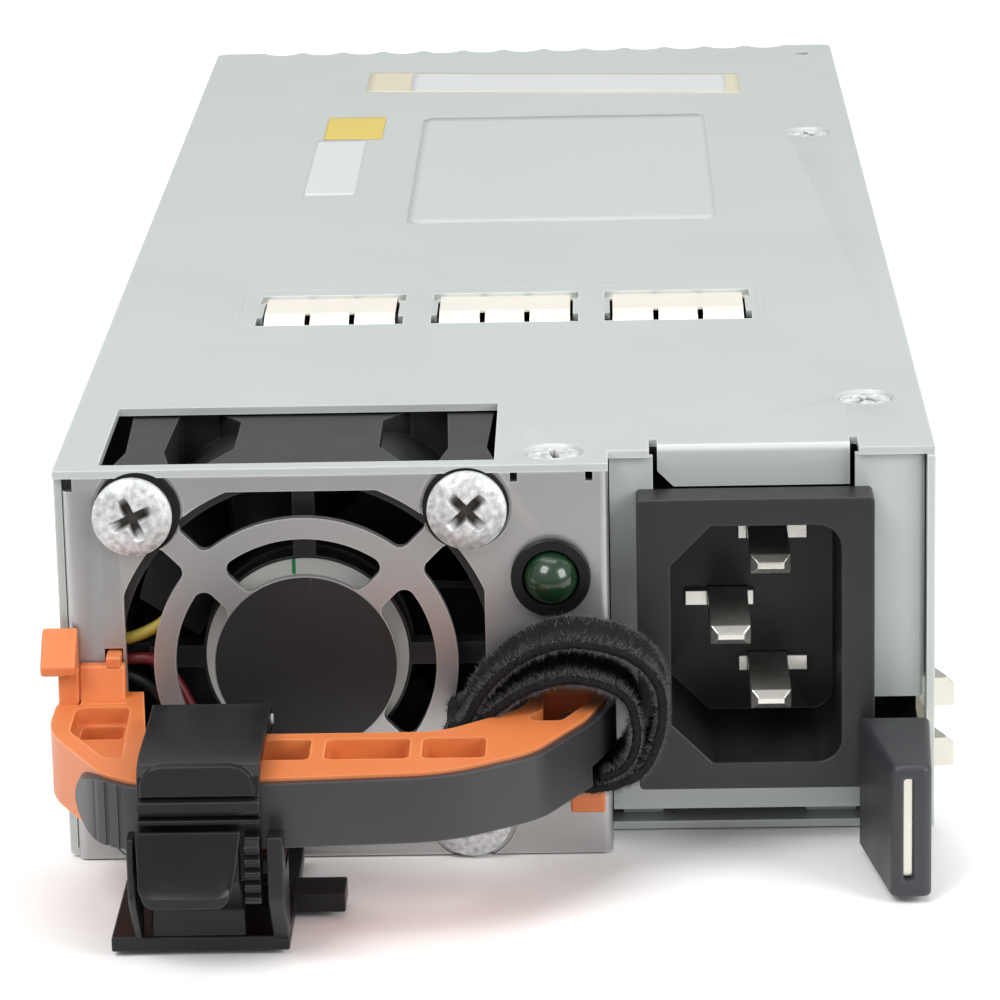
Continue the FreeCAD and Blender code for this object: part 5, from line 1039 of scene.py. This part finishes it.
# %% Floor
def flat_sheet(name, half, height):
    """A square floor as a grid of two by two faces that look up, in millimetres."""
    side = np.linspace(-half, half, 3)
    x, y = np.meshgrid(side, side, indexing="ij")
    points = np.stack([x, y, np.full_like(x, height)], axis=2)
    faces = grid_faces(3, 3)[:, [0, 3, 2, 1]]
    return show(name, new_mesh(name, points, faces.tolist()))


FLOOR_WHITE = 0.93
floor = flat_sheet("studio_floor", 3000.0, -0.2)


def floor_material():
    """White matt floor that keeps a soft shadow; in reflections it darkens in front of the module."""
    material = bpy.data.materials.new("studio_white")
    material.use_nodes = True
    tree = material.node_tree
    shader = tree.nodes["Principled BSDF"]
    along = coordinate(tree, "Y")
    fall = add(tree, "MapRange", interpolation_type="SMOOTHSTEP")
    set_inputs(fall, {"From Min": -0.26, "From Max": -0.14, "To Min": 0.16, "To Max": FLOOR_WHITE})
    tree.links.new(along, fall.inputs["Value"])
    seen = add(tree, "LightPath").outputs["Is Camera Ray"]
    white = (FLOOR_WHITE, FLOOR_WHITE, FLOOR_WHITE, 1)
    tree.links.new(blend(tree, seen, fall.outputs["Result"], white), shader.inputs["Base Color"])
    set_inputs(shader, {"Roughness": 0.9, "Specular IOR Level": 0.1})
    return material


floor.data.materials.append(floor_material())


# %% Lights
def soft_light(name, place, target, size, power):
    """A square area light that looks at a target."""
    lamp = bpy.data.lights.new(name, "AREA")
    lamp.size = size
    lamp.energy = power
    thing = show(name, lamp)
    thing.location = place
    direction = np.array(target) - np.array(place)
    back = -direction / np.linalg.norm(direction)
    side = np.cross([0, 0, 1], back)
    side /= np.linalg.norm(side)
    up = np.cross(back, side)
    turn = Matrix(np.stack([side, up, back], axis=1).tolist())
    thing.rotation_euler = turn.to_euler()


soft_light("key_light", (-0.5, -0.7, 0.9), target=(0, -0.05, 0.02), size=0.6, power=8.6)
soft_light("fill_light", (0.8, -0.6, 0.5), target=(0, -0.05, 0.02), size=0.6, power=8.0)
soft_light("top_light", (0.05, 0.25, 1.2), target=(0, 0, 0.03), size=0.9, power=5.8)

world = bpy.data.worlds.new("studio")
bpy.context.scene.world = world
world.use_nodes = True
set_inputs(world.node_tree.nodes["Background"], {"Color": (1, 1, 1, 1), "Strength": 0.55})


# %% Camera
def aim_camera(place, pitch, yaw, roll, lens):
    """Turn a camera from level and straight ahead by its pitch down, yaw and roll, in degrees."""
    p, w, r = np.radians([pitch, yaw, roll])
    across = np.array([math.cos(w), -math.sin(w), 0.0])
    ahead = np.array([math.sin(w), math.cos(w), 0.0])
    rise = np.array([0.0, 0.0, 1.0])
    forward = ahead * math.cos(p) - rise * math.sin(p)
    upward = ahead * math.sin(p) + rise * math.cos(p)
    right = across * math.cos(r) + upward * math.sin(r)
    top = upward * math.cos(r) - across * math.sin(r)
    camera = bpy.data.cameras.new("camera")
    camera.lens = lens
    camera.sensor_width = 36.0
    camera.clip_start = 0.01
    turn = np.eye(4)
    turn[:3] = np.stack([right, top, -forward, place], axis=1)
    thing = show("camera", camera)
    thing.matrix_world = Matrix(turn.tolist())
    bpy.context.scene.camera = thing


aim_camera((0.0111, -0.5516, 0.1639), pitch=16.04, yaw=-1.37, roll=-1.23, lens=171.07)
bpy.context.scene.view_settings.view_transform = "Standard"
